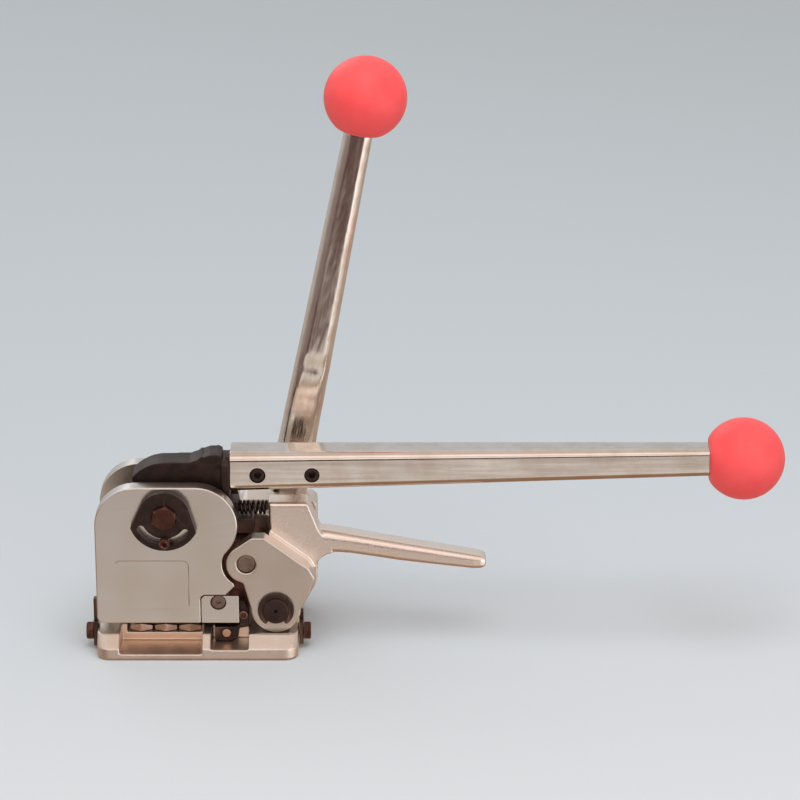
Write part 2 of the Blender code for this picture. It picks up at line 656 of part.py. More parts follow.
def add_knob(lever, name, centre, along):
    """Ball knob with a flat and a stem that enters its tube."""
    count, rings = 28, 13
    start = math.acos(KNOB_FLAT / KNOB_R)
    profile = [(-KNOB_FLAT - KNOB_STEM_LENGTH, KNOB_STEM_R), (-KNOB_FLAT, KNOB_STEM_R)]
    for step in range(rings):
        angle = start + (math.pi - start) * step / rings
        profile.append((-KNOB_R * math.cos(angle), KNOB_R * math.sin(angle)))
    side = Vector((0, 1, 0))
    across = side.cross(along)
    loops = []
    for position, radius in profile:
        middle = centre + along * position
        loops.append([tuple(middle + across * a + side * b) for a, b in circle((0, 0), radius, count)])
    return lever.piece(name, loft(loops), "red_plastic")


def add_punch_carrier(carrier):
    """Sliding carrier with a spring ledge, three upper dies and the cutter blade."""
    left, right = CARRIER_X
    low, high = CARRIER_Z
    ledge_low, ledge_high = CARRIER_LEDGE_Z
    outline = [(left, low), (right, low), (right, high), (left, high), (left, ledge_high),
               (CARRIER_LEDGE_X, ledge_high), (CARRIER_LEDGE_X, ledge_low), (left, ledge_low)]
    carrier.piece("punch_carrier", prism("Y", outline, -PLATE_INNER + GAP, PLATE_INNER - GAP), "die_steel")
    top = low - GAP
    for name, x in die_centres():
        notch = DIE_WIDTH / 2 - 0.8
        shape = [(x - notch, top), (x - notch, 14.9), (x, 17.2), (x + notch, 14.9), (x + notch, top)]
        carrier.piece(f"upper_die_{name}", prism("Y", shape, -12.5, 11.5), "die_steel")
    blade = [(2.0, top), (2.0, 18.0), (4.6, 15.2), (4.6, top)]
    carrier.piece("cutter_blade", prism("Y", blade, -12.5, 12.5), "black_oxide")


def add_rocker(rocker):
    """Fork casting with the release lever, and the pin of the holding pawl."""
    leg = [*arc(ROCKER_PIVOT, ROCKER_LOBE_R, 255, 118, 12), (33.6, 75.3), (41.3, 75.3), (68.2, 55.1),
           (71.6, 49.0), (68.5, 38.7), *arc(FEED_AXIS, FEED_LOBE_R, 0, -180, 18), (28.3, 45.3)]
    casting = rocker.piece("rocker_casting", prism("Y", leg, -PLATE_OUTER, -PLATE_INNER), "nickel_cast")
    bridge = [(ROCKER_FACE_X, 46.0), (70.4, 46.0), (71.4, 49.0), (68.0, 55.1), (ROCKER_FACE_X, 73.4)]
    half = ROCKER_BODY_HALF
    body = rounded([(ROCKER_FACE_X, 50.0, 0), (70.5, 50.0, 0), (76.5, 58.8, 3), (82.0, 59.8, 0),
                    (82.0, 72.1, 0), (73.8, 73.6, 2), (66.8, 91.4, 1.5), (ROCKER_FACE_X, 91.4, 1.5)], 3)
    rocker.join(casting,
                prism("Y", leg, PLATE_INNER, PLATE_OUTER),
                prism("Y", bridge, -PLATE_OUTER + 3, PLATE_OUTER - 3),
                prism("Y", body, -half, half),
                release_handle())
    for low, high in ((-30, -PLATE_INNER + 1), (PLATE_INNER - 1, 30)):
        rocker.cut(casting, rod("Y", ROCKER_PIVOT, ROCKER_PIN_R + GAP, low, high),
                   rod("Y", FEED_AXIS, SHAFT_R + GAP, low, high, 28))
    rocker.cut(casting, rod("Y", HOLDING_PAWL_PIVOT, PAWL_PIN_R + GAP, 20, 30, 20))
    rocker.piece("holding_pawl_pin", turned("Y", HOLDING_PAWL_PIVOT, [
        (20.3, PAWL_PIN_R), (30.7, PAWL_PIN_R), (31.1, 1.7)], 20), "nickel_plate")


def release_handle():
    """Tapered release lever from the rocker body to its rounded end."""
    loops = []
    for x, top, bottom, half in HANDLE_SECTIONS:
        corner = 0.3 * (top - bottom)
        outline = rounded([(-half, bottom, corner), (half, bottom, corner),
                           (half, top, corner), (-half, top, corner)], 3)
        loops.append([(x, y, z) for y, z in outline])
    return loft(loops)


def toothed(centre, count, tip, root, lean):
    """Outline of a wheel with saw teeth; lean is the share of the pitch that the flank takes."""
    points = []
    for tooth in range(count):
        angle = 360 * tooth / count
        points += arc(centre, tip, angle, angle, 1)[:1]
        points += arc(centre, root, angle + 360 * lean / count, angle + 360 * lean / count, 1)[:1]
    return points


def add_feed(feed):
    """Feed shaft with its wheel, ratchet wheel and clips."""
    shaft = feed.piece("feed_shaft", turned("Y", FEED_AXIS, [
        (-29.2, 7.3), (-28.5, SHAFT_R), (-27.7, SHAFT_R), (-27.7, 6.8), (-25.9, 6.8), (-25.9, SHAFT_R),
        (48.2, SHAFT_R), (48.2, 6.8), (49.8, 6.8), (49.8, SHAFT_R), (51.0, SHAFT_R), (51.6, 7.4)], 28),
        "black_oxide")
    feed.cut(shaft, turned("Y", FEED_AXIS, [(-30.0, 1.3), (-29.2, 1.0), (-27.0, 0.5)], 12))
    wheel = feed.piece("feed_wheel", prism("Y", toothed(
        FEED_AXIS, FEED_WHEEL_TEETH, FEED_WHEEL_R, FEED_WHEEL_R - 0.7, 0.5),
        -FEED_WHEEL_HALF, FEED_WHEEL_HALF), "die_steel")
    ratchet = feed.piece("ratchet_wheel", prism("Y", toothed(
        FEED_AXIS, RATCHET_TEETH, RATCHET_TIP_R, RATCHET_ROOT_R, 0.85), *RATCHET_Y), "die_steel")
    for part in (wheel, ratchet):
        feed.cut(part, rod("Y", FEED_AXIS, SHAFT_R + GAP, -20, 40, 28))
    clip = arc(FEED_AXIS, 11.0, -50, 230, 18) + arc(FEED_AXIS, 7.1, 230, -50, 18)
    feed.piece("shaft_clip_front", prism("Y", clip, -27.5, -26.1), "black_oxide")
    feed.piece("shaft_clip_rear", prism("Y", clip, 48.4, 49.6), "black_oxide")


def tension_centre(z):
    """Point on the tension lever's centre line at a height."""
    x = TENSION_KNOB[0] + TENSION_SLOPE * (z - TENSION_KNOB[1])
    share = min(1.0, (z - TENSION_START_Z) / (TENSION_BEND_Z - TENSION_START_Z))
    return Vector((x, TENSION_ROOT_Y + (TENSION_Y - TENSION_ROOT_Y) * share, z))


def add_tension_lever(lever):
    """Ratchet head with its pawl pin, bent tube, two screws and knob."""
    inset = HEAD_HALF_WIDTH - HEAD_CORNER
    shoulder = HEAD_TOP - HEAD_CORNER
    outline = [*arc(FEED_AXIS, HEAD_HALF_WIDTH, 180, 360, 18),
               *arc((FEED_AXIS[0] + inset, shoulder), HEAD_CORNER, 0, 90, 4),
               *arc((FEED_AXIS[0] - inset, shoulder), HEAD_CORNER, 90, 180, 4)]
    head = lever.piece("tension_lever_head", prism("Y", outline, *HEAD_Y), "nickel_cast")
    along = Vector((TENSION_SLOPE, 0, 1)).normalized()
    across = Vector((0, 1, 0)).cross(along)
    side = Vector((0, 1, 0))
    ends = [tension_centre(HEAD_TOP - 12), tension_centre(TENSION_START_Z + 42)]
    lever.join(head, box_loft(ends, across, 8.5, 7.3, 4.0))
    lever.cut(head, rod("Y", FEED_AXIS, SHAFT_R + GAP, 30, 60, 28),
              rod("Y", DRIVE_PAWL_PIVOT, PAWL_PIN_R + GAP, 30, 43, 20))
    lever.piece("drive_pawl_pin", turned("Y", DRIVE_PAWL_PIVOT, [
        (31.4, 1.7), (31.8, PAWL_PIN_R), (42.7, PAWL_PIN_R)], 20), "nickel_plate")
    knob = Vector((TENSION_KNOB[0], TENSION_Y, TENSION_KNOB[1]))
    end = knob - along * (KNOB_FLAT + GAP)
    sections = [(tension_centre(TENSION_START_Z), 11.9, TENSION_ROOT_HALF),
                (tension_centre(TENSION_BEND_Z), 10.9, 10.0), (end, 8.6, 8.5)]
    tube = lever_tube(lever, "tension_lever_tube", sections, across, side)
    for name, height in (("low", 90.0), ("high", 108.0)):
        middle = tension_centre(height)
        centre = (middle.x, middle.z)
        front = middle.y - TENSION_ROOT_HALF + 0.4
        bore = TENSION_SCREW_R + GAP
        lever.cut(tube, rod("Y", centre, bore, front - 5, middle.y, 18))
        lever.cut(head, rod("Y", centre, bore, front - 5, front + 7.5, 18))
        screw = lever.piece(f"tension_screw_{name}", turned("Y", centre, [
            (front + 0.2, 3.4), (front + 0.7, TENSION_SCREW_R), (front + 7.2, TENSION_SCREW_R)], 18),
            "black_oxide")
        lever.cut(screw, prism("Y", polygon(centre, 4.0, 6), front - 2, front + 3.5))
    add_knob(lever, "tension_knob", knob, along)


def pawl_outline(pivot, tip, back):
    """A pawl with a round hub at its pivot and a nose that ends at the tip."""
    toward = math.degrees(math.atan2(tip[1] - pivot[1], tip[0] - pivot[0]))
    hub = arc(pivot, 4.6, toward + 65, toward + 295, 14)
    return [*hub, tip, back] if back_is_after(pivot, tip, back) else [*hub, back, tip]


def back_is_after(pivot, tip, back):
    """Whether the nose's back corner follows the tip on a counter-clockwise walk."""
    reach = Vector(tip) - Vector(pivot)
    offset = Vector(back) - Vector(pivot)
    return reach.x * offset.y - reach.y * offset.x > 0


def add_pawl(pawl, name, pivot, tip_angle, back_turn, low, high):
    """A pawl at rest just clear of the ratchet teeth, and its bore."""
    tip = arc(FEED_AXIS, RATCHET_TIP_R + 0.45, tip_angle, tip_angle, 1)[0]
    back = arc(FEED_AXIS, RATCHET_TIP_R + 3.4, tip_angle + back_turn, tip_angle + back_turn, 1)[0]
    made = pawl.piece(name, prism("Y", pawl_outline(pivot, tip, back), low, high), "die_steel")
    pawl.cut(made, rod("Y", pivot, PAWL_PIN_R + GAP, low - 5, high + 5, 20))


def build():
    """Make every piece on its body."""
    for old in list(bpy.data.objects):
        bpy.data.objects.remove(old, do_unlink=True)
    frame = Body("frame_axis", (0, 0))
    adjuster = Body("adjuster_axis", SEAL_PIVOT, frame)
    sealing_lever = Body("sealing_lever_axis", SEAL_PIVOT, frame)
    carrier = Body("carrier_axis", (-20, 50), frame)
    rocker = Body("rocker_axis", ROCKER_PIVOT, frame)
    gripper = Body("gripper_axis", GRIPPER_PIVOT, frame)
    feed = Body("feed_axis", FEED_AXIS, rocker)
    tension_lever = Body("tension_lever_axis", FEED_AXIS, rocker)
    holding_pawl = Body("holding_pawl_axis", HOLDING_PAWL_PIVOT, rocker)
    drive_pawl = Body("drive_pawl_axis", DRIVE_PAWL_PIVOT, tension_lever)
    add_base(frame)
    add_side_plates(frame)
    add_inner_frame(frame)
    add_springs(frame)
    add_base_inserts(frame)
    add_cutter_block(frame)
    add_rear_screws(frame)
    add_clamp_screw(frame)
    add_gripper(frame, gripper)
    add_adjuster(adjuster)
    add_sealing_lever(sealing_lever)
    add_punch_carrier(carrier)
    add_rocker(rocker)
    add_feed(feed)
    add_tension_lever(tension_lever)
    add_pawl(holding_pawl, "holding_pawl", HOLDING_PAWL_PIVOT, 165, -4, 27.3, 31.0)
    add_pawl(drive_pawl, "drive_pawl", DRIVE_PAWL_PIVOT, 105, -4, 32.0, 35.9)


build()
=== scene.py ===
"""Looks of a hand tensioner and sealer for steel strapping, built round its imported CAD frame.

Sizes are in millimetres until a mesh is made. +X points along the closed sealing lever, +Y to the
ratchet side and +Z up.
"""
import json
import math

import bmesh
import bpy
from mathutils import Matrix, Vector, noise

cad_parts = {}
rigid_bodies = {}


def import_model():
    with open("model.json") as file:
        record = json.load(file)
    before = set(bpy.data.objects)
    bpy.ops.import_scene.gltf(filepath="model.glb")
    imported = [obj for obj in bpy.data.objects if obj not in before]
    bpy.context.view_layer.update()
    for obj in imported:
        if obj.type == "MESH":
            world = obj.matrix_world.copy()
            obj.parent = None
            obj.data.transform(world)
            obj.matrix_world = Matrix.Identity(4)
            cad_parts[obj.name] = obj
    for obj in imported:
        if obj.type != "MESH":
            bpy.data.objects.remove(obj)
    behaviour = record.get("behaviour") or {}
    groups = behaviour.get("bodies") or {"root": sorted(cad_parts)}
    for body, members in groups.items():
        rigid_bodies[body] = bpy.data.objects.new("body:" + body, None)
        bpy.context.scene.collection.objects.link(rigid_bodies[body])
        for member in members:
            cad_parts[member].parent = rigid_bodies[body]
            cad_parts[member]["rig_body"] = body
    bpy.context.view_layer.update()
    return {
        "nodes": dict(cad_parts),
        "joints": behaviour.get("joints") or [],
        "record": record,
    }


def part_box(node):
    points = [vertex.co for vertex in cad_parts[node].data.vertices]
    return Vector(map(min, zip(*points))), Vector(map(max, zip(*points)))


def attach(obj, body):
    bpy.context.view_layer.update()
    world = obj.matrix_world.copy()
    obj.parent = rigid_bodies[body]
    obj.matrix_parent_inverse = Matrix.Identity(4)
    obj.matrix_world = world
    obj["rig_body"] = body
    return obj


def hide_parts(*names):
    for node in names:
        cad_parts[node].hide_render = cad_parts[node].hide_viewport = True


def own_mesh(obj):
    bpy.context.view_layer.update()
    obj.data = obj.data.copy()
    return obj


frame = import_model()

MM = 0.001
SMOOTH_ANGLE = math.radians(32)
X_AXIS, Y_AXIS, Z_AXIS = Vector((1, 0, 0)), Vector((0, 1, 0)), Vector((0, 0, 1))


# ---------------- the frame's own measures

def pivot(name):
    """The (x, z) of a hinge."""
    joint = next(j for j in frame["joints"] if j["name"] == name)
    return (joint["pos_m"][0] / MM, joint["pos_m"][2] / MM)


def corners(node):
    """Lowest and highest corner of a CAD node."""
    low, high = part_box(node)
    return low / MM, high / MM


def middle(node):
    """Centre of a CAD node's box."""
    low, high = corners(node)
    return (low + high) / 2


def side_on(node):
    """Centre of a CAD node's box as (x, z), as it is seen from the front."""
    spot = middle(node)
    return (spot.x, spot.z)


SEAL = pivot("sealing_lever_hinge")
ROCKER = pivot("rocker_hinge")
FEED = pivot("feed_rotation")
GRIPPER = pivot("gripper_hinge")
SLOTS = {row["node"]: row["material_slot"] for row in frame["record"]["subparts"]}
REAR_SCREWS = [f"rear_plate_screw_{place}" for place in ("left", "middle", "right")]
SEALING_SCREWS = ("sealing_screw_near", "sealing_screw_far")
TENSION_SCREWS = ("tension_screw_low", "tension_screw_high")
BALL_R = 25.0
PLATE_CORNER = 25.0
PLATE_BEVEL = 0.8
ROCKER_CLEARANCE_R = 14.6
PIN_HOLE_R = 2.8                # screws and tie pins of the plates
PAWL_PIN_HOLE_R = 2.4
SHAFT_R = 8.0
SHAFT_HOLE_R = 8.3
BASE_CHAMFER = 7.3
BASE_CORNER = 8.0
LOBE_ROOM_R = 16.3              # room in the base for the rocker's lobes
CAST_VOXEL = 0.56
LEG_INNER_Y = 15.5
CRANK_START = 124.0
CRANK_END = 170.0
TAPER_Z = 150.0                 # height at which the tension tube begins to taper faster
TENSION_ROOT_Y = 43.0
LEAN_SLOPE = 0.196              # x gained by the tension lever per unit of height
TENSION_LEAN = Vector((LEAN_SLOPE, 0, 1)).normalized()


def ball_centre(node):
    """Centre of a knob's ball, which reaches furthest right and up."""
    low, high = corners(node)
    return Vector((high.x - BALL_R, (low.y + high.y) / 2, high.z - BALL_R))


# ---------------- outlines

def arc(centre, radius, start, end, count=24):
    """Points on an arc from start to end, both in degrees."""
    points = []
    for step in range(count + 1):
        angle = math.radians(start + (end - start) * step / count)
        points.append((centre[0] + radius * math.cos(angle), centre[1] + radius * math.sin(angle)))
    return points


def circle(centre, radius, count=72):
    """Points of a closed circle."""
    return arc(centre, radius, 0, 360 * (count - 1) / count, count - 1)


def polygon(centre, across_flats, sides=6, turn=0.0):
    """A regular polygon given by its size across flats."""
    corner = across_flats / 2 / math.cos(math.pi / sides)
    return arc(centre, corner, turn, turn + 360 * (sides - 1) / sides, sides - 1)


def rectangle(low, high):
    """Four corners of an upright rectangle."""
    return [(low[0], low[1]), (high[0], low[1]), (high[0], high[1]), (low[0], high[1])]


def rounded(points_in, count=8):
    """Round a polygon. Each corner is (a, b, radius); a radius of 0 stays sharp."""
    points = []
    for index, (a, b, radius) in enumerate(points_in):
        here = Vector((a, b))
        before = Vector(points_in[index - 1][:2])
        after = Vector(points_in[(index + 1) % len(points_in)][:2])
        if radius <= 0:
            points.append((a, b))
            continue
        to_before = (before - here).normalized()
        to_after = (after - here).normalized()
        half = to_before.angle(to_after) / 2
        centre = here + (to_before + to_after).normalized() * radius / math.sin(half)
        start = here + to_before * radius / math.tan(half) - centre
        sweep = start.angle_signed(here + to_after * radius / math.tan(half) - centre)
        for step in range(count + 1):
            points.append(tuple(centre + Matrix.Rotation(-sweep * step / count, 2) @ start))
    return points


# ---------------- meshes

def at(axis, a, b, along):
    """A point from two cross coordinates and one along X, Y or Z."""
    return {"X": (along, a, b), "Y": (a, along, b), "Z": (a, b, along)}[axis]


def loft(loops, tube=False):
    """A closed solid through loops of equal length; a tube joins its last loop to its first."""
    mesh = bmesh.new()
    rings = [[mesh.verts.new(point) for point in loop] for loop in loops]
    pairs = list(zip(rings, rings[1:] + rings[:1] if tube else rings[1:]))
    for lower, upper in pairs:
        for index, vert in enumerate(lower):
            after = (index + 1) % len(lower)
            mesh.faces.new((vert, lower[after], upper[after], upper[index]))
    if not tube:
        mesh.faces.new(rings[0])
        mesh.faces.new(rings[-1])
    bmesh.ops.recalc_face_normals(mesh, faces=mesh.faces)
    return mesh


def prism(axis, outline, low, high):
    """An outline drawn straight along an axis."""
    return loft([[at(axis, a, b, along) for a, b in outline] for along in (low, high)])


def crowned(axis, outline, low, high, radius, count=6):
    """A prism whose two end faces are rounded over by a radius."""
    middle_a = sum(a for a, b in outline) / len(outline)
    middle_b = sum(b for a, b in outline) / len(outline)
    reach = max(math.hypot(a - middle_a, b - middle_b) for a, b in outline)
    loops = []
    for side, face in ((1, low), (-1, high)):
        steps = range(count + 1) if side == 1 else range(count, -1, -1)
        for step in steps:
            turn = math.pi / 2 * step / count
            share = 1 - radius * (1 - math.sin(turn)) / reach
            along = face + side * radius * (1 - math.cos(turn))
            loops.append([at(axis, middle_a + (a - middle_a) * share,
                             middle_b + (b - middle_b) * share, along) for a, b in outline])
    return loft(loops)


def rod(axis, centre, radius, low, high, count=72):
    """A plain round bar."""
    return prism(axis, circle(centre, radius, count), low, high)


def turned(axis, centre, profile, count=72):
    """A turned solid; the profile is a list of (along, radius)."""
    return loft([[at(axis, a, b, along) for a, b in circle(centre, radius, count)]
                 for along, radius in profile])


def sections(stations, across, side, corner_share, count=8):
    """Rounded box outlines at (centre, half across, half side) stations."""
    loops = []
    for centre, half_across, half_side in stations:
        corner = corner_share * min(half_across, half_side)
        outline = rounded([(-half_across, -half_side, corner), (half_across, -half_side, corner),
                           (half_across, half_side, corner), (-half_across, half_side, corner)], count)
        loops.append([tuple(centre + across * a + side * b) for a, b in outline])
    return loops


def placed(name, data):
    """A new object in the scene."""
    made = bpy.data.objects.new(name, data)
    bpy.context.scene.collection.objects.link(made)
    return made


def piece(name, mesh):
    """An object from a mesh given in millimetres."""
    bmesh.ops.transform(mesh, matrix=Matrix.Scale(MM, 4), verts=mesh.verts)
    data = bpy.data.meshes.new(name)
    mesh.to_mesh(data)
    mesh.free()
    return placed(name, data)


def settle(target):
    """Turn a piece's modifiers into its mesh."""
    graph = bpy.context.evaluated_depsgraph_get()
    data = bpy.data.meshes.new_from_object(target.evaluated_get(graph))
    target.modifiers.clear()
    target.data = data
    return target


def combine(target, operation, tool):
    """Use up one piece on another: take it away, fuse it on or keep what both share."""
    boolean = target.modifiers.new("combine", "BOOLEAN")
    boolean.operation = operation
    boolean.object = tool
    settle(target)
    bpy.data.objects.remove(tool, do_unlink=True)


def cut(target, *meshes):
    """Cut meshes from a piece."""
    for mesh in meshes:
        combine(target, "DIFFERENCE", piece("tool", mesh))


def join(target, *meshes):
    """Fuse meshes to a piece."""
    for mesh in meshes:
        combine(target, "UNION", piece("tool", mesh))


def drill(target, nodes, radius, low, high):
    """Cut a round hole along Y for each node."""
    for node in nodes:
        cut(target, rod("Y", side_on(node), radius, low, high, 36))


def bevelled(target, width, segments=3, angle=32):
    """Round a piece's sharp edges and keep its flats flat."""
    bevel = target.modifiers.new("bevel", "BEVEL")
    bevel.width = width * MM
    bevel.segments = segments
    bevel.limit_method = "ANGLE"
    bevel.angle_limit = math.radians(angle)
    return shaded(settle(target))


def shaded(target, angle=SMOOTH_ANGLE):
    """Smooth shading that keeps flats flat."""
    target.data.shade_smooth()
    target.data.set_sharp_from_angle(angle=angle)
    weighted = target.modifiers.new("normals", "WEIGHTED_NORMAL")
    weighted.keep_sharp = True
    return settle(target)


def cast(target, voxel, passes, rough=0.0):
    """Melt a piece's sharp edges as a casting has them, and give its skin a fine unevenness."""
    remesh = target.modifiers.new("remesh", "REMESH")
    remesh.mode = "VOXEL"
    remesh.voxel_size = voxel * MM
    smooth = target.modifiers.new("smooth", "SMOOTH")
    smooth.factor = 0.5
    smooth.iterations = passes
    settle(target)
    if rough:
        verts = target.data.vertices
        normals = [vert.normal.copy() for vert in verts]
        moved = []
        for vert, normal in zip(verts, normals):
            point = vert.co / MM
            lump = noise.noise(point * 0.9) + 0.6 * noise.noise(point * 2.3)
            moved.extend(vert.co + normal * lump * rough * MM)
        verts.foreach_set("co", moved)
        target.data.update()
    target.data.shade_smooth()
    return target


# ---------------- materials

def ramp(tree, factor, stops):
    """A colour ramp; each stop is (position, colour)."""
    node = tree.nodes.new("ShaderNodeValToRGB")
    while len(node.color_ramp.elements) < len(stops):
        node.color_ramp.elements.new(0.5)
    for element, (position, colour) in zip(node.color_ramp.elements, stops):
        element.position = position
        element.color = (*colour, 1.0)
    tree.links.new(factor, node.inputs["Fac"])
    return node.outputs["Color"]


def noise_of(tree, vector, scale, detail=3.0, roughness=0.5, distortion=0.0):
    """Noise between about 0.3 and 0.7, with a size in 1/m."""
    node = tree.nodes.new("ShaderNodeTexNoise")
    node.inputs["Scale"].default_value = scale
    node.inputs["Detail"].default_value = detail
    node.inputs["Roughness"].default_value = roughness
    node.inputs["Distortion"].default_value = distortion
    tree.links.new(vector, node.inputs["Vector"])
    return node.outputs["Fac"]


def spread(tree, value, low, high, from_low=0.3, from_high=0.7):
    """Map a value to a range."""
    node = tree.nodes.new("ShaderNodeMapRange")
    tree.links.new(value, node.inputs["Value"])
    limits = {"From Min": from_low, "From Max": from_high, "To Min": low, "To Max": high}
    for name, number in limits.items():
        node.inputs[name].default_value = number
    return node.outputs["Result"]


def blend(tree, factor, first, second, mode="MIX"):
    """Mix two colours, each a socket or a colour."""
    node = tree.nodes.new("ShaderNodeMix")
    node.data_type = "RGBA"
    node.blend_type = mode
    for name, value in (("Factor", factor), ("A", first), ("B", second)):
        kind = "VALUE" if name == "Factor" else "RGBA"
        socket = next(s for s in node.inputs if s.name == name and s.type == kind)
        if isinstance(value, bpy.types.NodeSocket):
            tree.links.new(value, socket)
        else:
            socket.default_value = value if name == "Factor" else (*value, 1.0)
    return next(s for s in node.outputs if s.type == "RGBA")


def bumped(tree, height, distance, strength=1.0, normal=None):
    """A bump of a height map, distance in millimetres."""
    node = tree.nodes.new("ShaderNodeBump")
    node.inputs["Distance"].default_value = distance * MM
    node.inputs["Strength"].default_value = strength
    tree.links.new(height, node.inputs["Height"])
    if normal:
        tree.links.new(normal, node.inputs["Normal"])
    return node.outputs["Normal"]


def axes_of(tree, vector):
    """A vector's X, Y and Z sockets."""
    split = tree.nodes.new("ShaderNodeSeparateXYZ")
    tree.links.new(vector, split.inputs["Vector"])
    return split.outputs


def arithmetic(tree, operation, *values):
    """One step of arithmetic on value sockets."""
    node = tree.nodes.new("ShaderNodeMath")
    node.operation = operation
    for value, socket in zip(values, node.inputs):
        tree.links.new(value, socket)
    return node.outputs["Value"]


def dress(tree, shader, colour, roughness, normal=None):
    """Set a shader's colour, roughness and normal, each from a socket or a plain value."""
    for name, value in (("Base Color", colour), ("Roughness", roughness), ("Normal", normal)):
        if isinstance(value, bpy.types.NodeSocket):
            tree.links.new(value, shader.inputs[name])
        elif value is not None:
            shader.inputs[name].default_value = value


def surface(name, metallic):
    """A new material with its tree, shader and object coordinates."""
    made = bpy.data.materials.new(name)
    made.use_nodes = True
    tree = made.node_tree
    shader = tree.nodes["Principled BSDF"]
    shader.inputs["Metallic"].default_value = metallic
    place = tree.nodes.new("ShaderNodeTexCoord").outputs["Object"]
    return made, tree, shader, place


def stretched(tree, place, direction, squeeze):
    """Coordinates squeezed along a direction in the XZ plane, so that noise runs as streaks."""
    node = tree.nodes.new("ShaderNodeMapping")
    node.vector_type = "TEXTURE"
    node.inputs["Rotation"].default_value = (0, -math.atan2(direction.z, direction.x), 0)
    node.inputs["Scale"].default_value = (squeeze, 1, 1)
    tree.links.new(place, node.inputs["Vector"])
    return node.outputs["Vector"]


def edge_wear(tree, low=0.52, high=0.62):
    """0 on flats, 1 on worn outer edges."""
    point = tree.nodes.new("ShaderNodeNewGeometry").outputs["Pointiness"]
    return spread(tree, point, 0.0, 1.0, low, high)


def nickel_plate():
    """Ground and nickelled plate: warm, satin, with faint cloudy marks and fine grinding lines."""
    made, tree, shader, place = surface("nickel_plate", 1.0)
    clouds = noise_of(tree, place, 30, 1, 0.4)
    lines = noise_of(tree, stretched(tree, place, Vector((1, 0, 0.2)), 30), 420, 2, 0.5)
    tint = ramp(tree, clouds, [(0.32, (0.75, 0.70, 0.635)), (0.5, (0.785, 0.745, 0.70)),
                               (0.68, (0.80, 0.775, 0.74))])
    dress(tree, shader, blend(tree, spread(tree, lines, 0.0, 0.12), tint, (0.66, 0.60, 0.55)), 0.26)
    return made


def banded(tree, place, axis, start, end):
    """0 to 1 as a coordinate's distance from the middle runs between two sizes in millimetres."""
    size = arithmetic(tree, "ABSOLUTE", axes_of(tree, place)[axis])
    return spread(tree, size, 0.0, 1.0, start * MM, end * MM)


def nickel_fork():
    """Fork casting: ground and satin on its legs, blasted and grainy on its body, whose colour is painted
    brighter to stand in for the overhead light its blasted face catches.
    """
    made, tree, shader, place = surface("nickel_fork", 1.0)
    clouds = noise_of(tree, place, 45, 4, 0.5)
    grain = noise_of(tree, place, 1200, 2, 0.6)
    ground = banded(tree, place, "Y", 12.0, 14.0)
    # painted light: the blasted body's tint is lighter than the legs' to stand in for the light from above
    # that its rough face picks up; the ground and blasted finishes and their roughness are real
    blasted = ramp(tree, clouds, [(0.34, (0.98, 0.87, 0.79)), (0.66, (1.0, 0.92, 0.86))])
    satin = ramp(tree, clouds, [(0.34, (0.76, 0.695, 0.63)), (0.66, (0.81, 0.755, 0.70))])
    tint = blend(tree, edge_wear(tree), blend(tree, ground, blasted, satin), (0.97, 0.89, 0.82))
    rough = tree.nodes.new("ShaderNodeMix")
    tree.links.new(ground, rough.inputs["Factor"])
    tree.links.new(spread(tree, grain, 0.26, 0.38), rough.inputs["A"])
    tree.links.new(spread(tree, grain, 0.30, 0.38), rough.inputs["B"])
    dress(tree, shader, tint, rough.outputs["Result"], bumped(tree, grain, 0.055, 0.8))
    return made


def nickel_base():
    """Base casting: nickelled and blasted, with painted coppery shade and reflection down in its pockets."""
    made, tree, shader, place = surface("nickel_base", 1.0)
    clouds = noise_of(tree, place, 60, 4, 0.5)
    grain = noise_of(tree, place, 1300, 2, 0.6)
    # painted shade: the low pockets behind the front face are tinted copper to stand in for the shade and
    # warm interreflection down there
    low = spread(tree, axes_of(tree, place)["Z"], 1.0, 0.0, 5 * MM, 11 * MM)
    pocket = arithmetic(tree, "MULTIPLY", low, banded(tree, place, "Y", 35.6, 34.6))
    tint = ramp(tree, clouds, [(0.34, (0.80, 0.71, 0.63)), (0.66, (0.88, 0.80, 0.73))])
    tint = blend(tree, edge_wear(tree), tint, (0.98, 0.90, 0.83))
    # the pockets blend to the painted coppery shade (0.78, 0.61, 0.49)
    dress(tree, shader, blend(tree, pocket, tint, (0.78, 0.61, 0.49)), spread(tree, grain, 0.30, 0.46),
          bumped(tree, grain, 0.06, 0.8))
    return made


def nickel_cast():
    """Sand-blasted and nickelled casting: rougher, with a sparkling grain."""
    made, tree, shader, place = surface("nickel_cast", 1.0)
    clouds = noise_of(tree, place, 45, 4, 0.5)
    grain = noise_of(tree, place, 1500, 2, 0.6)
    pits = noise_of(tree, place, 3600, 2, 0.5)
    tint = ramp(tree, clouds, [(0.34, (0.80, 0.715, 0.64)), (0.66, (0.86, 0.79, 0.725))])
    worn = blend(tree, edge_wear(tree), tint, (0.95, 0.86, 0.78))
    dress(tree, shader, blend(tree, spread(tree, grain, 0.0, 0.22), worn, (0.60, 0.49, 0.41)),
          spread(tree, grain, 0.36, 0.50), bumped(tree, pits, 0.015, 0.5, bumped(tree, grain, 0.05, 0.7)))
    return made


def bright_tube(name, direction, wave, streak):
    """Drawn, nickelled tube: bright, with streaks and shallow waves along its length."""
    made, tree, shader, place = surface(name, 1.0)
    along = stretched(tree, place, direction, 28)
    streaks = noise_of(tree, along, 420, 3, 0.6)
    waves = noise_of(tree, stretched(tree, place, direction, 5), 110, 3, 0.55)
    spots = noise_of(tree, place, 60, 4, 0.6)
    tint = ramp(tree, spots, [(0.33, (0.76, 0.68, 0.61)), (0.5, (0.82, 0.76, 0.70)),
                              (0.68, (0.86, 0.82, 0.77))])
    dress(tree, shader, blend(tree, spread(tree, streaks, 0.0, streak), tint, (0.52, 0.43, 0.37)),
          spread(tree, streaks, 0.10, 0.22),
          bumped(tree, streaks, streak * 0.06, 0.6, bumped(tree, waves, wave)))
    return made


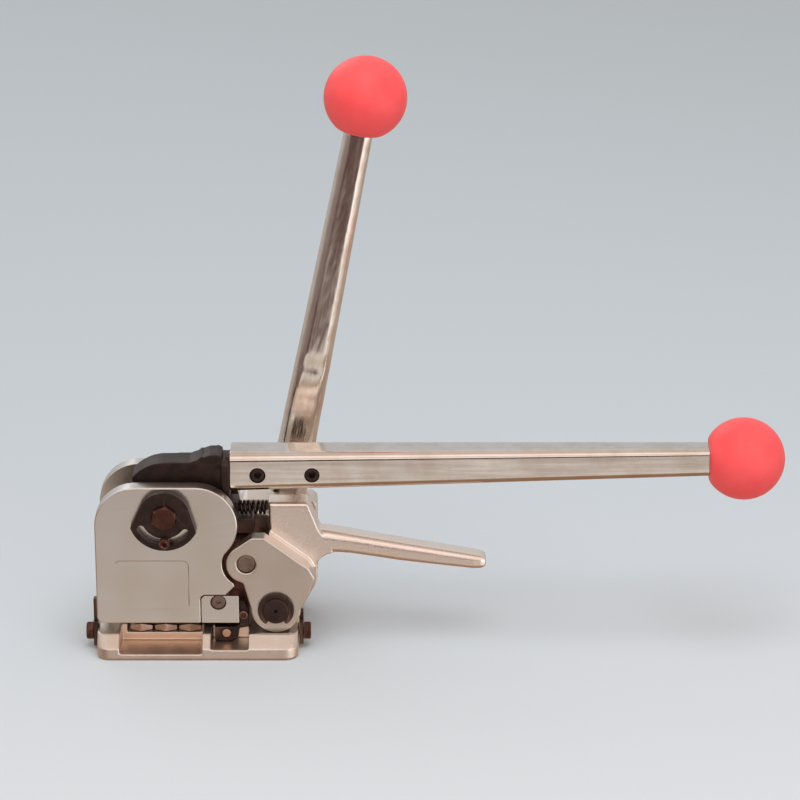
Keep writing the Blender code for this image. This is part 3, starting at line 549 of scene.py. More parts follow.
def dark_finish(name, colour, light, edge, roughness, metallic):
    """Oxide finish: dark with a brown cast, rubbed lighter on its edges."""
    made, tree, shader, place = surface(name, metallic)
    clouds = noise_of(tree, place, 130, 4, 0.6)
    grain = noise_of(tree, place, 2600, 2, 0.6)
    tint = ramp(tree, clouds, [(0.36, colour), (0.66, light)])
    dress(tree, shader, blend(tree, edge_wear(tree, 0.53, 0.70), tint, edge),
          spread(tree, grain, roughness - 0.07, roughness + 0.08), bumped(tree, grain, 0.02, 0.5))
    return made


def tool_steel(name, colour, light):
    """Hardened steel with grinding lines."""
    made, tree, shader, place = surface(name, 1.0)
    clouds = noise_of(tree, place, 160, 4, 0.6)
    lines = noise_of(tree, stretched(tree, place, Vector((0, 0, 1)), 24), 2400, 2, 0.6)
    dress(tree, shader, ramp(tree, clouds, [(0.36, colour), (0.66, light)]),
          spread(tree, lines, 0.28, 0.44), bumped(tree, lines, 0.010, 0.6))
    return made


def red_plastic():
    """Moulded phenolic ball: satin, with a faint orange peel."""
    made, tree, shader, place = surface("red_plastic", 0.0)
    clouds = noise_of(tree, place, 55, 3, 0.5)
    peel = noise_of(tree, place, 950, 2, 0.5)
    tint = ramp(tree, clouds, [(0.35, (0.97, 0.078, 0.082)), (0.66, (1.0, 0.098, 0.102))])
    dress(tree, shader, tint, spread(tree, peel, 0.36, 0.46), bumped(tree, peel, 0.012, 0.5))
    return made


MATERIALS = {
    "nickel_plate": nickel_plate(),
    "nickel_cast": nickel_cast(),
    "nickel_fork": nickel_fork(),
    "nickel_base": nickel_base(),
    "chrome_tube": bright_tube("chrome_tube", X_AXIS, 0.012, 0.05),
    "tension_tube": bright_tube("tension_tube", TENSION_LEAN, 0.6, 0.16),
    "black_oxide": dark_finish("black_oxide", (0.030, 0.019, 0.017), (0.060, 0.036, 0.030),
                               (0.22, 0.12, 0.09), 0.42, 0.7),
    "brown_steel": dark_finish("brown_steel", (0.085, 0.036, 0.027), (0.14, 0.062, 0.046),
                               (0.42, 0.26, 0.19), 0.40, 0.85),
    "die_steel": tool_steel("die_steel", (0.50, 0.38, 0.32), (0.60, 0.48, 0.41)),
    "pin_steel": tool_steel("pin_steel", (0.24, 0.175, 0.15), (0.36, 0.27, 0.24)),
    "copper_pin": tool_steel("copper_pin", (0.62, 0.40, 0.30), (0.72, 0.50, 0.39)),
    "spring_steel": dark_finish("spring_steel", (0.022, 0.018, 0.018), (0.050, 0.040, 0.036),
                                (0.30, 0.20, 0.16), 0.30, 0.9),
    "red_plastic": red_plastic(),
}


# ---------------- handing a piece to the frame

def stand_for(target, node, finish=None):
    """Give a piece its node's body and the material of its slot, or a finish instead, and hide the node."""
    slot = SLOTS[node]
    target.data.materials.clear()
    target.data.materials.append(MATERIALS[finish or slot])
    target.name = f"{node}_visual"
    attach(target, frame["nodes"][node]["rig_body"])
    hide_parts(node)
    return target


def refined(node, width, segments=2, finish=None):
    """A copy of a node's own shape with its facets merged and its edges rounded."""
    mesh = bmesh.new()
    mesh.from_mesh(frame["nodes"][node].data)
    bmesh.ops.remove_doubles(mesh, verts=mesh.verts, dist=1e-6)
    bmesh.ops.dissolve_limit(mesh, angle_limit=math.radians(0.5), verts=mesh.verts, edges=mesh.edges)
    bmesh.ops.transform(mesh, matrix=Matrix.Scale(1 / MM, 4), verts=mesh.verts)
    return stand_for(bevelled(piece(node + "_copy", mesh), width, segments), node, finish)


# ---------------- frame plates

def plate_outline(node, notch):
    """Side plate outline; the front plate has a notch for the cutter block."""
    low, high = corners(node)
    if notch:
        right = [(2.0, low.z), *arc((5.0, 34.9), 3.0, 180, 90, 10), (17.3, 37.9)]
    else:
        right = [(25.2, low.z), (25.2, 38.0)]
    top = high.z - PLATE_CORNER
    return [*arc((low.x + 4, low.z + 4), 4, 180, 270, 12), *right,
            *arc((21.5, 44.2), 1.3, -40, 50, 8), *arc(ROCKER, ROCKER_CLEARANCE_R, 236, 154, 36),
            *arc((0, top), PLATE_CORNER, -35, 90, 56),
            *arc((low.x + PLATE_CORNER, top), PLATE_CORNER, 90, 180, 40)]


def sunk_panel(low, high, face, depth):
    """A shallow pocket with sloping sides in a face that looks to -Y."""
    loops = []
    for y, grow in ((face - 0.5, 1.55), (face, 0.9), (face + depth, 0.0)):
        box = rectangle((low[0] - grow, low[1] - grow), (high[0] + grow, high[1] + grow))
        loops.append([(x, y, z) for x, z in rounded([(*corner, 3.0 + grow) for corner in box])])
    return loft(loops)


def make_side_plates():
    """Both side plates, with the blank sunk panel on the front one."""
    low, high = corners("front_side_plate")
    outline = plate_outline("front_side_plate", True)
    front = bevelled(piece("plate", prism("Y", outline, low.y, high.y)), PLATE_BEVEL, 4)
    cut(front, rod("Y", SEAL, 7.4, low.y - 5, high.y + 5))
    drill(front, ["adjuster_clamp_screw"], 2.0, low.y - 5, -17.5)
    cut(front, sunk_panel((-49.0, 29.0), (-5.5, 60.0), low.y, 0.7))
    drill(front, ["tie_pin_upper", "tie_pin_lower"], PIN_HOLE_R, high.y - 5, high.y + 5)
    stand_for(shaded(front, math.radians(20)), "front_side_plate")
    low, high = corners("rear_side_plate")
    outline = plate_outline("rear_side_plate", False)
    rear = bevelled(piece("plate", prism("Y", outline, low.y, high.y)), PLATE_BEVEL, 4)
    cut(rear, rod("Y", SEAL, 6.4, low.y - 5, high.y + 5))
    drill(rear, REAR_SCREWS, PIN_HOLE_R, low.y - 5, high.y + 5)
    stand_for(shaded(rear), "rear_side_plate")


# ---------------- base

def base_loop(height, front, inset, radius):
    """Outline of the base at one height."""
    low, high = corners("base_plate")
    outline = rounded([(low.x + inset, front, radius), (high.x - inset, front, radius),
                       (high.x - inset, high.y, 0), (low.x + inset, high.y, 0)], 16)
    return [(x, y, height) for x, y in outline]


def make_base():
    """Cast base with its two pockets, die seat, screw holes and room for the rocker's lobes."""
    low, high = corners("base_plate")
    dies = corners("lower_die_left")[0], corners("lower_die_right")[1]
    anvil_low, anvil_high = corners("feed_anvil")
    front, top = low.y, high.z
    base = piece("base", loft([
        base_loop(0.0, front + 0.9, 0.9, BASE_CORNER - 0.9), base_loop(0.9, front, 0, BASE_CORNER),
        base_loop(top - BASE_CHAMFER, front, 0, BASE_CORNER),
        base_loop(top, front + BASE_CHAMFER, 0, 5.0)]))
    above = top + 5
    seat = rectangle((anvil_low.x - 0.3, anvil_low.y - 0.3), (anvil_high.x + 0.3, anvil_high.y + 0.3))
    cut(base,
        prism("Z", rectangle((-47.2, front - 5), (3.0, -15.0)), 4.0, above),
        prism("Z", rectangle((dies[0].x - 1.7, -20), (2.0, 12.0)), dies[0].z - 0.3, above),
        prism("Z", rectangle((8.2, front - 5), (31.2, -17.3)), 6.8, above),
        rod("Y", FEED, LOBE_ROOM_R, front + BASE_CHAMFER + 2, -14.7, 96),
        rod("Y", FEED, LOBE_ROOM_R, 13.0, high.y + 10, 96),
        prism("Z", seat, anvil_low.z - 0.3, above))
    for side in ("left", "right"):
        spot = middle(f"strap_guide_bolt_{side}")
        ends = sorted((spot.x, spot.x * 0.83))
        cut(base, rod("X", (spot.y, spot.z), 2.7, *ends, 36))
    drill(base, REAR_SCREWS, PIN_HOLE_R, 0, high.y + 5)
    stand_for(cast(base, CAST_VOXEL, 2, 0.05), "base_plate", "nickel_base")


# ---------------- rocker

HANDLE_STATIONS = (             # x, top, bottom, half width
    (70.0, 73.6, 58.6, 8.5), (79.0, 72.7, 58.6, 8.5), (86.0, 71.5, 58.4, 8.45), (93.0, 70.1, 57.9, 8.3),
    (108.0, 67.3, 55.5, 7.9), (123.0, 64.6, 52.9, 7.7), (145.0, 60.7, 50.2, 7.4), (168.0, 56.6, 47.5, 7.1),
    (173.2, 55.5, 47.6, 6.6), (175.2, 54.4, 48.5, 5.7), (175.9, 53.2, 49.7, 4.4))


def release_handle():
    """Tapered release lever from the rocker body to its rounded end."""
    loops = []
    for x, top, bottom, half in HANDLE_STATIONS:
        tall = top - bottom
        outline = rounded([(-half, bottom, 0.24 * tall), (half, bottom, 0.24 * tall),
                           (half, top, 0.36 * tall), (-half, top, 0.36 * tall)], 8)
        loops.append([(x, y, z) for y, z in outline])
    return loft(loops)


def make_rocker():
    """Fork casting: two ground legs, a bridge, the body and the release lever in one piece."""
    low, high = corners("rocker_casting")
    leg = [*arc(ROCKER, 12.2, 255, 118, 48), (33.6, 75.3), (41.3, 75.3), (68.2, 55.1), (71.6, 49.0),
           (68.5, 38.7), *arc(FEED, 15.0, 0, -180, 60), (28.3, 45.3)]
    face = 43.5
    bridge = [(face, 46.0), (70.2, 46.0), (70.9, 49.5), (68.0, 55.1), (face, 73.4)]
    body = [(face, 50.0), (70.6, 44.0), *arc((83.6, 46.2), 12.4, 176, 94, 22), (82.0, 60.5), (73.4, 74.6),
            (67.5, 90.2), (66.4, 91.4), (face, 91.4)]
    rocker = piece("rocker", prism("Y", leg, low.y, -LEG_INNER_Y))
    join(rocker, prism("Y", leg, LEG_INNER_Y, high.y),
         prism("Y", bridge, low.y + 3, high.y - 3),
         crowned("Y", body, -8.5, 8.5, 2.6),
         release_handle())
    for start, end in ((low.y - 5, -LEG_INNER_Y + 1), (LEG_INNER_Y - 1, high.y + 5)):
        cut(rocker, rod("Y", ROCKER, 5.8, start, end), rod("Y", FEED, SHAFT_HOLE_R, start, end))
    drill(rocker, ["holding_pawl_pin"], PAWL_PIN_HOLE_R, high.y - 5, high.y + 5)
    cast(rocker, CAST_VOXEL, 3, 0.035)
    cut(rocker, turned("Y", (36.0, 52.0), [(low.y - 1, 1.4), (low.y - 0.05, 0.75), (low.y + 0.8, 0.2)], 20))
    stand_for(rocker, "rocker_casting", "nickel_fork")


# ---------------- sealing lever

def make_bracket():
    """Cast lever bracket: a thick disc with a cam below, a waist and a flange for the tube."""
    half = 9.0
    flange = corners("sealing_lever_tube")[0].x
    disc = arc(SEAL, 26.8, 90, 140, 32)
    cam = []
    for step in range(25):
        angle = math.radians(-200 + step * 110 / 24)
        support = 24.0 + 3.0 * (angle + math.pi / 2)
        cam.append((SEAL[0] + support * math.cos(angle) - 3.0 * math.sin(angle),
                    SEAL[1] + support * math.sin(angle) + 3.0 * math.cos(angle)))
    heel = arc(SEAL, 24.0, -80, -30, 24)
    arm = [(4.0, 84.0), *arc((2.0, 99.0), 12.5, -55, -12, 8), (15.5, 98.7), (15.5, 121.6), (13.4, 122.9),
           (7.9, 122.6), (4.2, 121.2), (2.6, 121.5), (1.2, 119.9), (-4.0, 118.0)]
    bracket = piece("bracket", prism("Y", disc + cam + heel + arm, -half, half))
    stations = []
    for step in range(7):
        share = step / 6
        x = 4.0 + share * (flange - 1.5 - 4.0)
        grow = share ** 2.4
        stations.append((x, half - 0.4 + 3.2 * grow, 100.5 - 3.0 * grow, 118.6 + 0.6 * grow))
    flare = loft([[(x, y, z) for y, z in rounded([(*corner, 2.5) for corner in
                                                  rectangle((-wide, bottom), (wide, top))], 5)]
                  for x, wide, bottom, top in stations])
    edges = rounded([(*corner, 3.5) for corner in rectangle((-12.0, 94.2), (12.0, 119.4))])
    plate = prism("X", edges, 15.3, flange - 0.25)
    join(bracket, flare, plate)
    cut(bracket, rod("Y", SEAL, 8.4, -20, 20))
    cast(bracket, 0.45, 3, 0.02)
    start, along, _ = sealing_line()
    ends = [(start - along * 3.0, 8.9, 8.8), (start + along * 62, 8.9, 8.8)]
    spigot = piece("spigot", loft(sections(ends, Z_AXIS, Y_AXIS, 0.55, 6)))
    drill(spigot, SEALING_SCREWS, 4.5, -20, -2.7)
    merge_into(bracket, spigot)
    stand_for(bracket, "lever_bracket")


def merge_into(target, other):
    """Put another piece's mesh into a piece."""
    mesh = bmesh.new()
    mesh.from_mesh(target.data)
    mesh.from_mesh(other.data)
    mesh.to_mesh(target.data)
    mesh.free()
    bpy.data.objects.remove(other, do_unlink=True)
    target.data.shade_smooth()


def sealing_line():
    """Start, direction and end of the sealing lever's tube."""
    low, high = corners("sealing_lever_tube")
    ball = ball_centre("sealing_knob")
    start = Vector((low.x, 0, low.z + 12.5))
    along = (Vector((ball.x, 0, ball.z)) - start).normalized()
    return start, along, high.x


def lip(end, next_in):
    """Stations that round a tube's end over, from its face inward."""
    centre, half_across, half_side = end
    inward = (next_in[0] - centre).normalized()
    return [(centre + inward * depth, half_across - less, half_side - less)
            for depth, less in ((0.0, 0.5), (0.15, 0.15), (0.5, 0.0))]


def tube_mesh(stations, across, side, share, wall=2.2):
    """A rounded box tube with rounded lips, through (centre, half across, half side) stations."""
    outer = lip(stations[0], stations[1]) + stations[1:-1] + lip(stations[-1], stations[-2])[::-1]
    inner = [(centre, a - wall, b - wall) for centre, a, b in stations]
    loops = sections(outer, across, side, share, 10) + sections(inner, across, side, share, 10)[::-1]
    return loft(loops, tube=True)


def along_line(start, end, first, last, count):
    """Stations between two (half across, half side) sizes."""
    made = []
    for step in range(count + 1):
        share = step / count
        made.append((start.lerp(end, share), first[0] + (last[0] - first[0]) * share,
                     first[1] + (last[1] - first[1]) * share))
    return made


def make_sealing_tube():
    """Tapered tube of the sealing lever."""
    start, along, end_x = sealing_line()
    end = start + along * ((end_x - start.x) / along.x)
    stations = along_line(start, end, (12.5, 12.4), (8.7, 8.6), 40)
    tube = piece("tube", tube_mesh(stations, Z_AXIS, Y_AXIS, 0.42))
    for node in SEALING_SCREWS:
        cut(tube, turned("Y", side_on(node), [(-20.0, 5.2), (-12.2, 4.9), (-11.4, 4.45), (0.0, 4.45)], 48))
    stand_for(shaded(tube), "sealing_lever_tube")


# ---------------- tension lever

def tension_centre(z, knob):
    """Point on the tension lever's centre line at a height, cranked to the knob's plane."""
    x = knob.x + LEAN_SLOPE * (z - knob.z)
    share = min(1.0, max(0.0, (z - CRANK_START) / (CRANK_END - CRANK_START)))
    eased = share * share * (3 - 2 * share)
    return Vector((x, TENSION_ROOT_Y + (knob.y - TENSION_ROOT_Y) * eased, z))


def tapered(z, start_z, end_z, first, at_taper, last):
    """A half width at a height, between its values at the start, at TAPER_Z and at the end."""
    if z < TAPER_Z:
        return first + (at_taper - first) * (z - start_z) / (TAPER_Z - start_z)
    return at_taper + (last - at_taper) * (z - TAPER_Z) / (end_z - TAPER_Z)


def make_tension_tube():
    """Cranked, tapered tube of the tension lever."""
    knob = ball_centre("tension_knob")
    start_z = 80.4
    end_z = knob.z - 21.3 * TENSION_LEAN.z
    across = Y_AXIS.cross(TENSION_LEAN)
    stations = []
    count = 96
    for step in range(count + 1):
        z = start_z + (end_z - start_z) * step / count
        wide = tapered(z, start_z, end_z, 11.9, 10.9, 8.6)
        deep = tapered(z, start_z, end_z, 10.6, 10.0, 8.5)
        pinch = math.exp(-((z - 166) / 5) ** 2) + 0.8 * math.exp(-((z - 143) / 5) ** 2)
        stations.append((tension_centre(z, knob), wide + 0.1 * pinch, deep - 0.55 * pinch))
    tube = piece("tube", tube_mesh(stations, across, Y_AXIS, 0.66))
    for node in TENSION_SCREWS:
        front = corners(node)[0].y
        cut(tube, turned("Y", side_on(node), [(front - 6, 5.0), (front + 0.2, 4.8), (front + 0.9, 4.3),
                                              (front + 11, 4.3)], 48))
    stand_for(shaded(tube), "tension_lever_tube", "tension_tube")


def make_tension_head():
    """Ratchet head plate with the neck that enters the tube."""
    low, high = corners("tension_lever_head")
    knob = ball_centre("tension_knob")
    half, top = 24.0, 77.5
    outline = [*arc(FEED, half, 180, 360, 72), *arc((FEED[0] + half - 5, top - 5), 5, 0, 90, 12),
               *arc((FEED[0] - half + 5, top - 5), 5, 90, 180, 12)]
    head = bevelled(piece("head", prism("Y", outline, low.y, high.y)), 1.2, 4)
    across = Y_AXIS.cross(TENSION_LEAN)
    ends = [(tension_centre(z, knob), 8.5, 7.3) for z in (65.5, 122.4)]
    join(head, loft(sections(ends, across, Y_AXIS, 0.5, 6)))
    cut(head, rod("Y", FEED, SHAFT_HOLE_R, 30, 60))
    drill(head, ["drive_pawl_pin"], PAWL_PIN_HOLE_R, 30, 43)
    for node in TENSION_SCREWS:
        drill(head, [node], 4.3, 20, corners(node)[1].y + 0.3)
    stand_for(shaded(head), "tension_lever_head")


# ---------------- knobs

def make_knob(node, along):
    """Ball with a flat and a small shoulder against its tube."""
    flat = 21.0
    centre = ball_centre(node)
    start = math.acos(flat / BALL_R)
    profile = [(-flat - 12.0, 4.7), (-flat - 11.7, 5.0), (-flat, 5.0)]
    rim = BALL_R * math.sin(start)
    profile += [(-flat, rim - 0.9), (-flat + 0.12, rim - 0.3), (-flat + 0.45, rim + 0.16)]
    rings = 46
    for step in range(1, rings):
        angle = start + (math.pi - start) * step / rings
        profile.append((-BALL_R * math.cos(angle), BALL_R * math.sin(angle)))
    across = Y_AXIS.cross(along)
    loops = []
    for position, radius in profile:
        spot = centre + along * position
        loops.append([tuple(spot + across * a + Y_AXIS * b) for a, b in circle((0, 0), radius, 96)])
    knob = piece("knob", loft(loops))
    knob.data.shade_smooth()
    knob.data.set_sharp_from_angle(angle=math.radians(50))
    stand_for(knob, node)


# ---------------- adjuster, shaft, pins

def make_adjuster():
    """Slotted sector and hex axle; the clamp screw is made with the other screws."""
    low, high = corners("adjuster_sector")
    lower, upper = 21.6, 15.7
    lean = math.degrees(math.acos(upper / lower))
    sharp = [*arc(SEAL, lower, 199, 333, 60), *arc(SEAL, upper, 338 - 360 + lean, 194 - lean, 48)]
    sector = piece("sector", prism("Y", sharp, low.y, high.y))
    start, end = 208, 322
    radius, half = 16.0, 2.3
    outer = arc(SEAL, radius + half, start, end, 48)
    inner = arc(SEAL, radius - half, end, start, 48)
    far = arc(arc(SEAL, radius, end, end, 1)[0], half, end, end + 180, 12)
    near = arc(arc(SEAL, radius, start, start, 1)[0], half, start + 180, start + 360, 12)
    cut(sector, prism("Y", outer + far[1:-1] + inner + near[1:-1], low.y - 5, high.y + 5),
        rod("Y", SEAL, 7.2, low.y - 5, high.y + 5))
    stand_for(bevelled(sector, 0.45, 3), "adjuster_sector")
    axle = piece("axle", turned("Y", SEAL, [
        (-31.2, 7.0), (-15.5, 7.0), (-15.5, 8.0), (15.1, 8.0), (15.1, 6.0), (26.0, 6.0), (26.0, 5.0),
        (27.6, 5.0), (27.6, 6.0), (29.1, 6.0), (29.6, 5.4)]))
    hexagon = piece("hexagon", prism("Y", polygon(SEAL, 13.8, 6, 22), -33.8, low.y - 0.15))
    crown = turned("Y", SEAL, [(-33.8, 6.7), (-32.9, 7.9), (-26.0, 7.9)], 96)
    combine(hexagon, "INTERSECT", piece("crown", crown))
    combine(axle, "UNION", hexagon)
    stand_for(bevelled(axle, 0.25, 2), "eccentric_axle")


def make_socket_screw(node, profile, flats, depth, finish=None):
    """A turned screw whose first station is its head's face, with a hex socket in it."""
    centre = side_on(node)
    face = profile[0][0]
    inward = 1 if profile[-1][0] > face else -1
    screw = piece("screw", turned("Y", centre, profile, 64))
    ends = sorted((face - inward * 2, face + inward * depth))
    cut(screw, prism("Y", polygon(centre, flats), *ends),
        turned("Y", centre, [(face - inward * 0.5, flats * 0.72), (face + inward * 0.45, flats * 0.46)], 36))
    stand_for(bevelled(screw, 0.12, 2), node, finish)


def make_screws():
    """Every socket screw."""
    for node in SEALING_SCREWS:
        make_socket_screw(node, [(-12.1, 3.3), (-11.9, 3.8), (-11.4, 4.2), (-3.0, 4.2)], 4.0, 3.6)
    for node in TENSION_SCREWS:
        low, high = corners(node)
        make_socket_screw(node, [(low.y, 3.2), (low.y + 0.2, 3.7), (low.y + 0.7, 4.0), (high.y, 4.0)],
                          4.0, 3.3)
    for node in REAR_SCREWS:
        make_socket_screw(node, [(30.8, 3.9), (30.6, 4.3), (30.1, 4.5), (25.8, 4.5), (25.8, 2.5),
                                 (0.5, 2.5)], 4.0, 2.8)
    make_socket_screw("adjuster_clamp_screw", [(-34.6, 2.9), (-34.4, 3.3), (-33.9, 3.5), (-31.1, 3.5),
                                               (-31.1, 1.7), (-17.8, 1.7)], 3.0, 2.4)
    make_socket_screw("cutter_block_screw", [(-25.1, 3.6), (-24.9, 4.1), (-24.6, 4.25), (-23.2, 4.25),
                                             (-23.2, 2.3), (-6.3, 2.3)], 2.6, 1.7, "pin_steel")


def make_cutter_block():
    """Cutter block with its countersink."""
    low, high = corners("cutter_block")
    outline = rounded([(low.x, low.z, 0.3), (high.x, low.z, 0.3), (high.x, high.z, 0.8),
                       (low.x, high.z, 3.0)], 10)
    block = bevelled(piece("block", prism("Y", outline, low.y, high.y)), 0.45, 3)
    sink = [(-26.5, 5.6), (-25.5, 4.9), (-25.0, 4.65), (-23.1, 4.6), (-23.1, 2.6), (-10.0, 2.6)]
    cut(block, turned("Y", side_on("cutter_block_screw"), sink, 64))
    stand_for(shaded(block), "cutter_block")


def make_feed_shaft():
    """Shaft with grooves for its clips, a chamfer and a centre hole."""
    low, high = corners("feed_shaft")
    shaft = piece("shaft", turned("Y", FEED, [
        (low.y, 7.0), (low.y + 0.25, 7.5), (low.y + 0.8, SHAFT_R), (-27.7, SHAFT_R), (-27.7, 6.8),
        (-25.9, 6.8), (-25.9, SHAFT_R), (48.2, SHAFT_R), (48.2, 6.8), (49.8, 6.8), (49.8, SHAFT_R),
        (high.y - 0.7, SHAFT_R), (high.y, 7.2)], 96))
    hole = [(low.y - 0.8, 1.7), (low.y, 1.3), (low.y + 1.1, 0.6), (low.y + 2.6, 0.3)]
    cut(shaft, turned("Y", FEED, hole, 32))
    stand_for(bevelled(shaft, 0.15, 2), "feed_shaft")
    for node in ("shaft_clip_front", "shaft_clip_rear"):
        clip_low, clip_high = corners(node)
        outline = [*arc(FEED, 11.0, -48, 228, 72), *arc(arc(FEED, 9.6, 228, 228, 1)[0], 1.4, 228, 370, 8),
                   *arc(FEED, 7.1, 222, -42, 60), *arc(arc(FEED, 9.6, -48, -48, 1)[0], 1.4, 170, 312, 8)]
        stand_for(bevelled(piece("clip", prism("Y", outline, clip_low.y, clip_high.y)), 0.25, 2), node)


def make_rocker_pin():
    """Pin that the rocker turns on, faced with a slight chamfer and a turning mark."""
    low, high = corners("rocker_pivot_pin")
    pin = piece("pin", turned("Y", ROCKER, [
        (low.y + 0.12, 0.5), (low.y, 1.2), (low.y, 4.7), (low.y + 0.5, 5.5), (high.y - 0.5, 5.5),
        (high.y, 4.9)], 96))
    stand_for(bevelled(pin, 0.1, 2), "rocker_pivot_pin", "pin_steel")


def make_guide_bolts():
    """Hex bolts of the strap guides, crowned on their outer face."""
    for side in ("left", "right"):
        node = f"strap_guide_bolt_{side}"
        low, high = corners(node)
        spot = middle(node)
        centre = (spot.y, spot.z)
        outer, inner = (low.x, high.x) if side == "left" else (high.x, low.x)
        sign = 1 if side == "right" else -1
        head = piece("bolt", prism("X", polygon(centre, 10.0, 6, 30), *sorted((outer, outer - sign * 4.2))))
        crown = turned("X", centre, [(outer, 4.7), (outer - sign * 0.8, 5.9), (outer - sign * 6, 5.9)], 72)
        combine(head, "INTERSECT", piece("crown", crown))
        join(head, rod("X", centre, 2.4, *sorted((inner, outer - sign * 2)), 36))
        cut(head, turned("X", centre, [(outer + sign * 1, 3.3), (outer - sign * 0.35, 3.0)], 48))
        stand_for(bevelled(head, 0.25, 2), node)


# ---------------- springs

def helix(axis, centre, radius, wire, low, high, turns, steps=40, sides=14):
    """A spring of round wire with closed ends."""
    loops = []
    first = low + wire
    rise = high - low - 2 * wire
    total = int(turns * steps)
    for step in range(total + 1):
        angle = 2 * math.pi * step / steps
        share = step / total
        eased = share - 0.035 * math.sin(2 * math.pi * share)
        loop = []
        for side in range(sides):
            turn = 2 * math.pi * side / sides
            reach = radius + wire * math.cos(turn)
            loop.append(at(axis, centre[0] + math.cos(angle) * reach, centre[1] + math.sin(angle) * reach,
                           first + rise * eased + wire * math.sin(turn)))
        loops.append(loop)
    return loft(loops)


def make_spring(node, mesh):
    """A spring's piece."""
    spring = piece("spring", mesh)
    spring.data.shade_smooth()
    return stand_for(spring, node)


def make_springs():
    """The rocker's return spring and the two carrier springs."""
    low, high = corners("return_spring")
    spring = make_spring("return_spring", helix("X", (0, 85.7), 3.75, 0.78, low.x, high.x, 6.5))
    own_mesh(spring)
    for node in ("carrier_spring_front", "carrier_spring_rear"):
        low, high = corners(node)
        spot = middle(node)
        spring = make_spring(node, helix("Z", (spot.x, spot.y), 2.2, 0.5, low.z, high.z, 7, 32, 10))
        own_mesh(spring)


# ---------------- gripper

def make_gripper():
    """Z-shaped gripper lever and its jaw pin."""
    low, high = corners("gripper_lever")
    outline = rounded([(10.2, 16.3, 0.8), (10.2, 7.3, 1.0), (19.0, 7.3, 1.5), (24.6, 9.6, 3.0),
                       (25.4, 15.6, 1.0), (30.8, 16.6, 1.0), (30.6, 24.5, 1.0), (28.6, 33.4, 1.0),
                       (26.0, 33.4, 0.8), (26.0, 18.5, 1.5), (23.0, 16.3, 0.8)], 8)
    lever = piece("lever", prism("Y", outline, low.y, high.y))
    jaw = side_on("gripper_jaw_pin")
    cut(lever, rod("Y", GRIPPER, 2.1, -30, -10, 48), rod("Y", jaw, 3.0, -30, -10, 48))
    stand_for(bevelled(lever, 0.5, 3), "gripper_lever")
    low, high = corners("gripper_jaw_pin")
    profile = [(low.y, 2.0), (low.y + 0.15, 2.4), (low.y + 0.5, 2.7), (high.y, 2.7)]
    pin = piece("pin", turned("Y", jaw, profile, 64))
    stand_for(bevelled(pin, 0.1, 2), "gripper_jaw_pin")


# ---------------- assembly

def make_inner_pieces():
    """Pieces whose own shape is kept, with their edges rounded."""
    refined("pivot_block", 0.45, 3, "brown_steel")
    for node in ("spring_seat", "punch_carrier", "cutter_blade", "feed_anvil", "strap_guide_left",
                 "strap_guide_right", "axle_clip", "holding_pawl", "drive_pawl"):
        refined(node, 0.45, 3)
    for node in ("lower_die_left", "lower_die_middle", "lower_die_right", "upper_die_left",
                 "upper_die_middle", "upper_die_right", "tie_pin_upper", "tie_pin_lower",
                 "holding_pawl_pin", "drive_pawl_pin", "gripper_pivot_screw"):
        refined(node, 0.3, 2)
    for node in ("feed_wheel", "ratchet_wheel"):
        refined(node, 0.15, 2)


def make_camera():
    """Camera on the mid-line of the tool, looking along +Y and down."""
    pitch = math.radians(20)
    target = Vector((123.3, 0, 155.1)) * MM
    data = bpy.data.cameras.new("camera")
    data.lens = 149.3
    data.sensor_width = 36
    data.clip_end = 50
    camera = placed("camera", data)
    camera.location = target + 2.0 * Vector((0, -math.cos(pitch), math.sin(pitch)))
    camera.rotation_euler = (math.pi / 2 - pitch, 0, 0)
    bpy.context.scene.camera = camera


def make_floor():
    """Wide pale floor with a faint paper tooth and a painted fall-off of light: lighter near the camera,
    darker further back.
    """
    mesh = bmesh.new()
    bmesh.ops.create_grid(mesh, x_segments=4, y_segments=4, size=9000)
    bmesh.ops.translate(mesh, verts=mesh.verts, vec=(0, 0, -0.05))
    floor = piece("floor", mesh)
    made, tree, shader, place = surface("floor", 0.0)
    tooth = noise_of(tree, place, 700, 2, 0.6)
    # painted light: the floor's colour darkens with distance to stand in for the light falling off
    depth = spread(tree, axes_of(tree, place)["Y"], 0.0, 1.0, -0.3, 1.6)
    tint = ramp(tree, depth, [(0.0, (0.63, 0.675, 0.705)), (0.35, (0.53, 0.60, 0.645)),
                              (1.0, (0.50, 0.58, 0.625))])
    dress(tree, shader, blend(tree, spread(tree, tooth, 0.0, 0.06), tint, (0.42, 0.50, 0.54)), 0.9,
          bumped(tree, tooth, 0.05, 0.4))
    floor.data.materials.append(made)
    floor.visible_glossy = False


# What a mirror would show from straight down (0) to straight up (1), for each way it looks.
FRONT_SKY = (
    (0.00, (0.34, 0.19, 0.12)), (0.14, (0.34, 0.21, 0.13)), (0.21, (0.42, 0.30, 0.21)),
    (0.26, (0.78, 0.70, 0.62)), (0.325, (0.90, 0.83, 0.78)), (0.342, (0.13, 0.075, 0.07)),
    (0.42, (0.13, 0.075, 0.065)), (0.485, (0.08, 0.05, 0.045)), (0.53, (1.05, 0.94, 0.87)),
    (0.60, (1.50, 1.34, 1.24)), (0.67, (0.60, 0.45, 0.39)), (0.74, (1.30, 1.12, 1.02)),
    (0.90, (1.30, 1.14, 1.05)), (0.95, (0.62, 0.48, 0.42)), (1.00, (0.86, 0.74, 0.67)))
RIGHT_SKY = (
    (0.00, (0.34, 0.19, 0.12)), (0.26, (0.46, 0.33, 0.25)), (0.32, (1.60, 1.50, 1.44)),
    (0.52, (1.60, 1.50, 1.44)), (0.62, (0.60, 0.46, 0.40)), (1.00, (0.55, 0.45, 0.40)))
LEFT_SKY = (
    (0.00, (0.34, 0.19, 0.12)), (0.22, (0.50, 0.34, 0.27)), (0.32, (0.16, 0.11, 0.10)),
    (0.48, (0.34, 0.27, 0.25)), (0.62, (0.95, 0.84, 0.77)), (1.00, (0.80, 0.70, 0.63)))
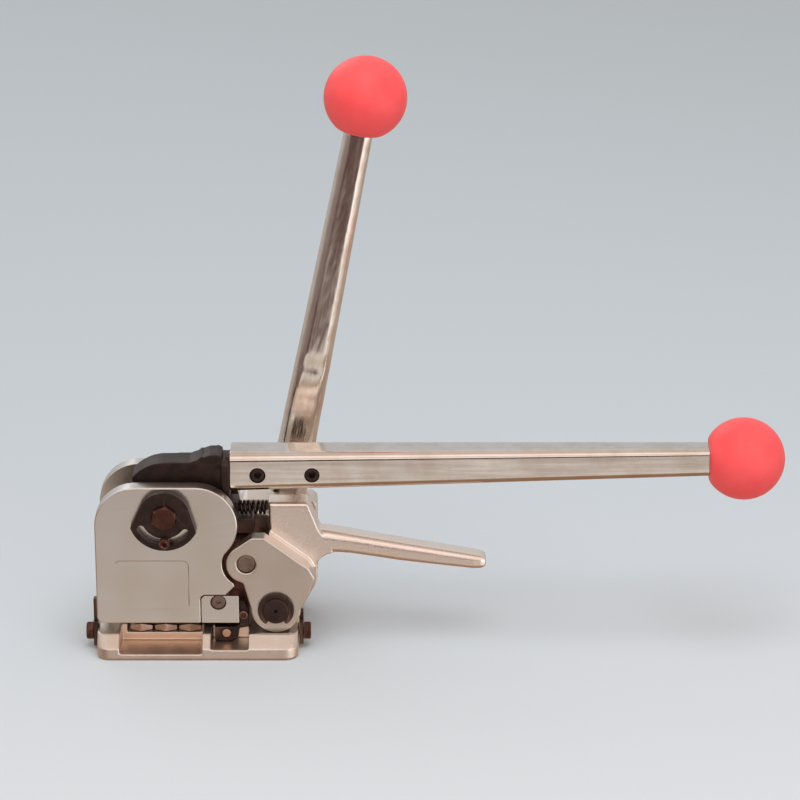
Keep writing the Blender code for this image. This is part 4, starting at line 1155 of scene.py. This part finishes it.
BACK_SKY = (
    (0.00, (0.34, 0.19, 0.12)), (0.30, (0.52, 0.42, 0.35)), (0.48, (0.56, 0.55, 0.55)),
    (0.67, (0.60, 0.61, 0.63)), (0.85, (0.78, 0.73, 0.69)), (1.00, (0.68, 0.58, 0.53)))


def make_light():
    """Surroundings that differ to the front, right, left and back, and three soft boxes."""
    world = bpy.data.worlds.new("studio")
    bpy.context.scene.world = world
    world.use_nodes = True
    tree = world.node_tree
    background = tree.nodes["Background"]
    direction = tree.nodes.new("ShaderNodeTexCoord").outputs["Generated"]
    axes = axes_of(tree, direction)
    height = spread(tree, axes["Z"], 0.0, 1.0, -1.0, 1.0)
    sky = ramp(tree, height, FRONT_SKY)
    for axis, start, end, stops in (("X", 0.28, 0.42, RIGHT_SKY), ("X", -0.32, -0.5, LEFT_SKY),
                                    ("Y", -0.35, 0.35, BACK_SKY)):
        sky = blend(tree, spread(tree, axes[axis], 0.0, 1.0, start, end), sky, ramp(tree, height, stops))
    tree.links.new(sky, background.inputs["Color"])
    background.inputs["Strength"].default_value = 0.9
    for name, place, aim, size, power in (
            ("key", (0.3, -0.6, 2.0), (0.1, 0, 0.1), 1.6, 23.0),
            ("fill", (1.8, -1.5, 1.2), (0.1, 0, 0.1), 1.0, 4.0),
            ("rear", (-0.9, 1.8, 1.4), (0.1, 0, 0.1), 1.2, 4.0)):
        data = bpy.data.lights.new(name, "AREA")
        data.shape = "SQUARE"
        data.size = size
        data.energy = power
        data.color = (0.96, 1.0, 1.05)
        light = placed(name, data)
        light.visible_glossy = name != "key"
        light.location = place
        light.rotation_euler = (Vector(aim) - Vector(place)).to_track_quat("-Z", "Y").to_euler()


bpy.context.scene.view_settings.view_transform = "Standard"
make_camera()
make_floor()
make_light()
make_side_plates()
make_base()
make_cutter_block()
make_rocker()
make_bracket()
make_sealing_tube()
make_tension_tube()
make_tension_head()
make_knob("sealing_knob", sealing_line()[1])
make_knob("tension_knob", TENSION_LEAN)
make_adjuster()
make_screws()
make_feed_shaft()
make_rocker_pin()
make_guide_bolts()
make_springs()
make_gripper()
make_inner_pieces()
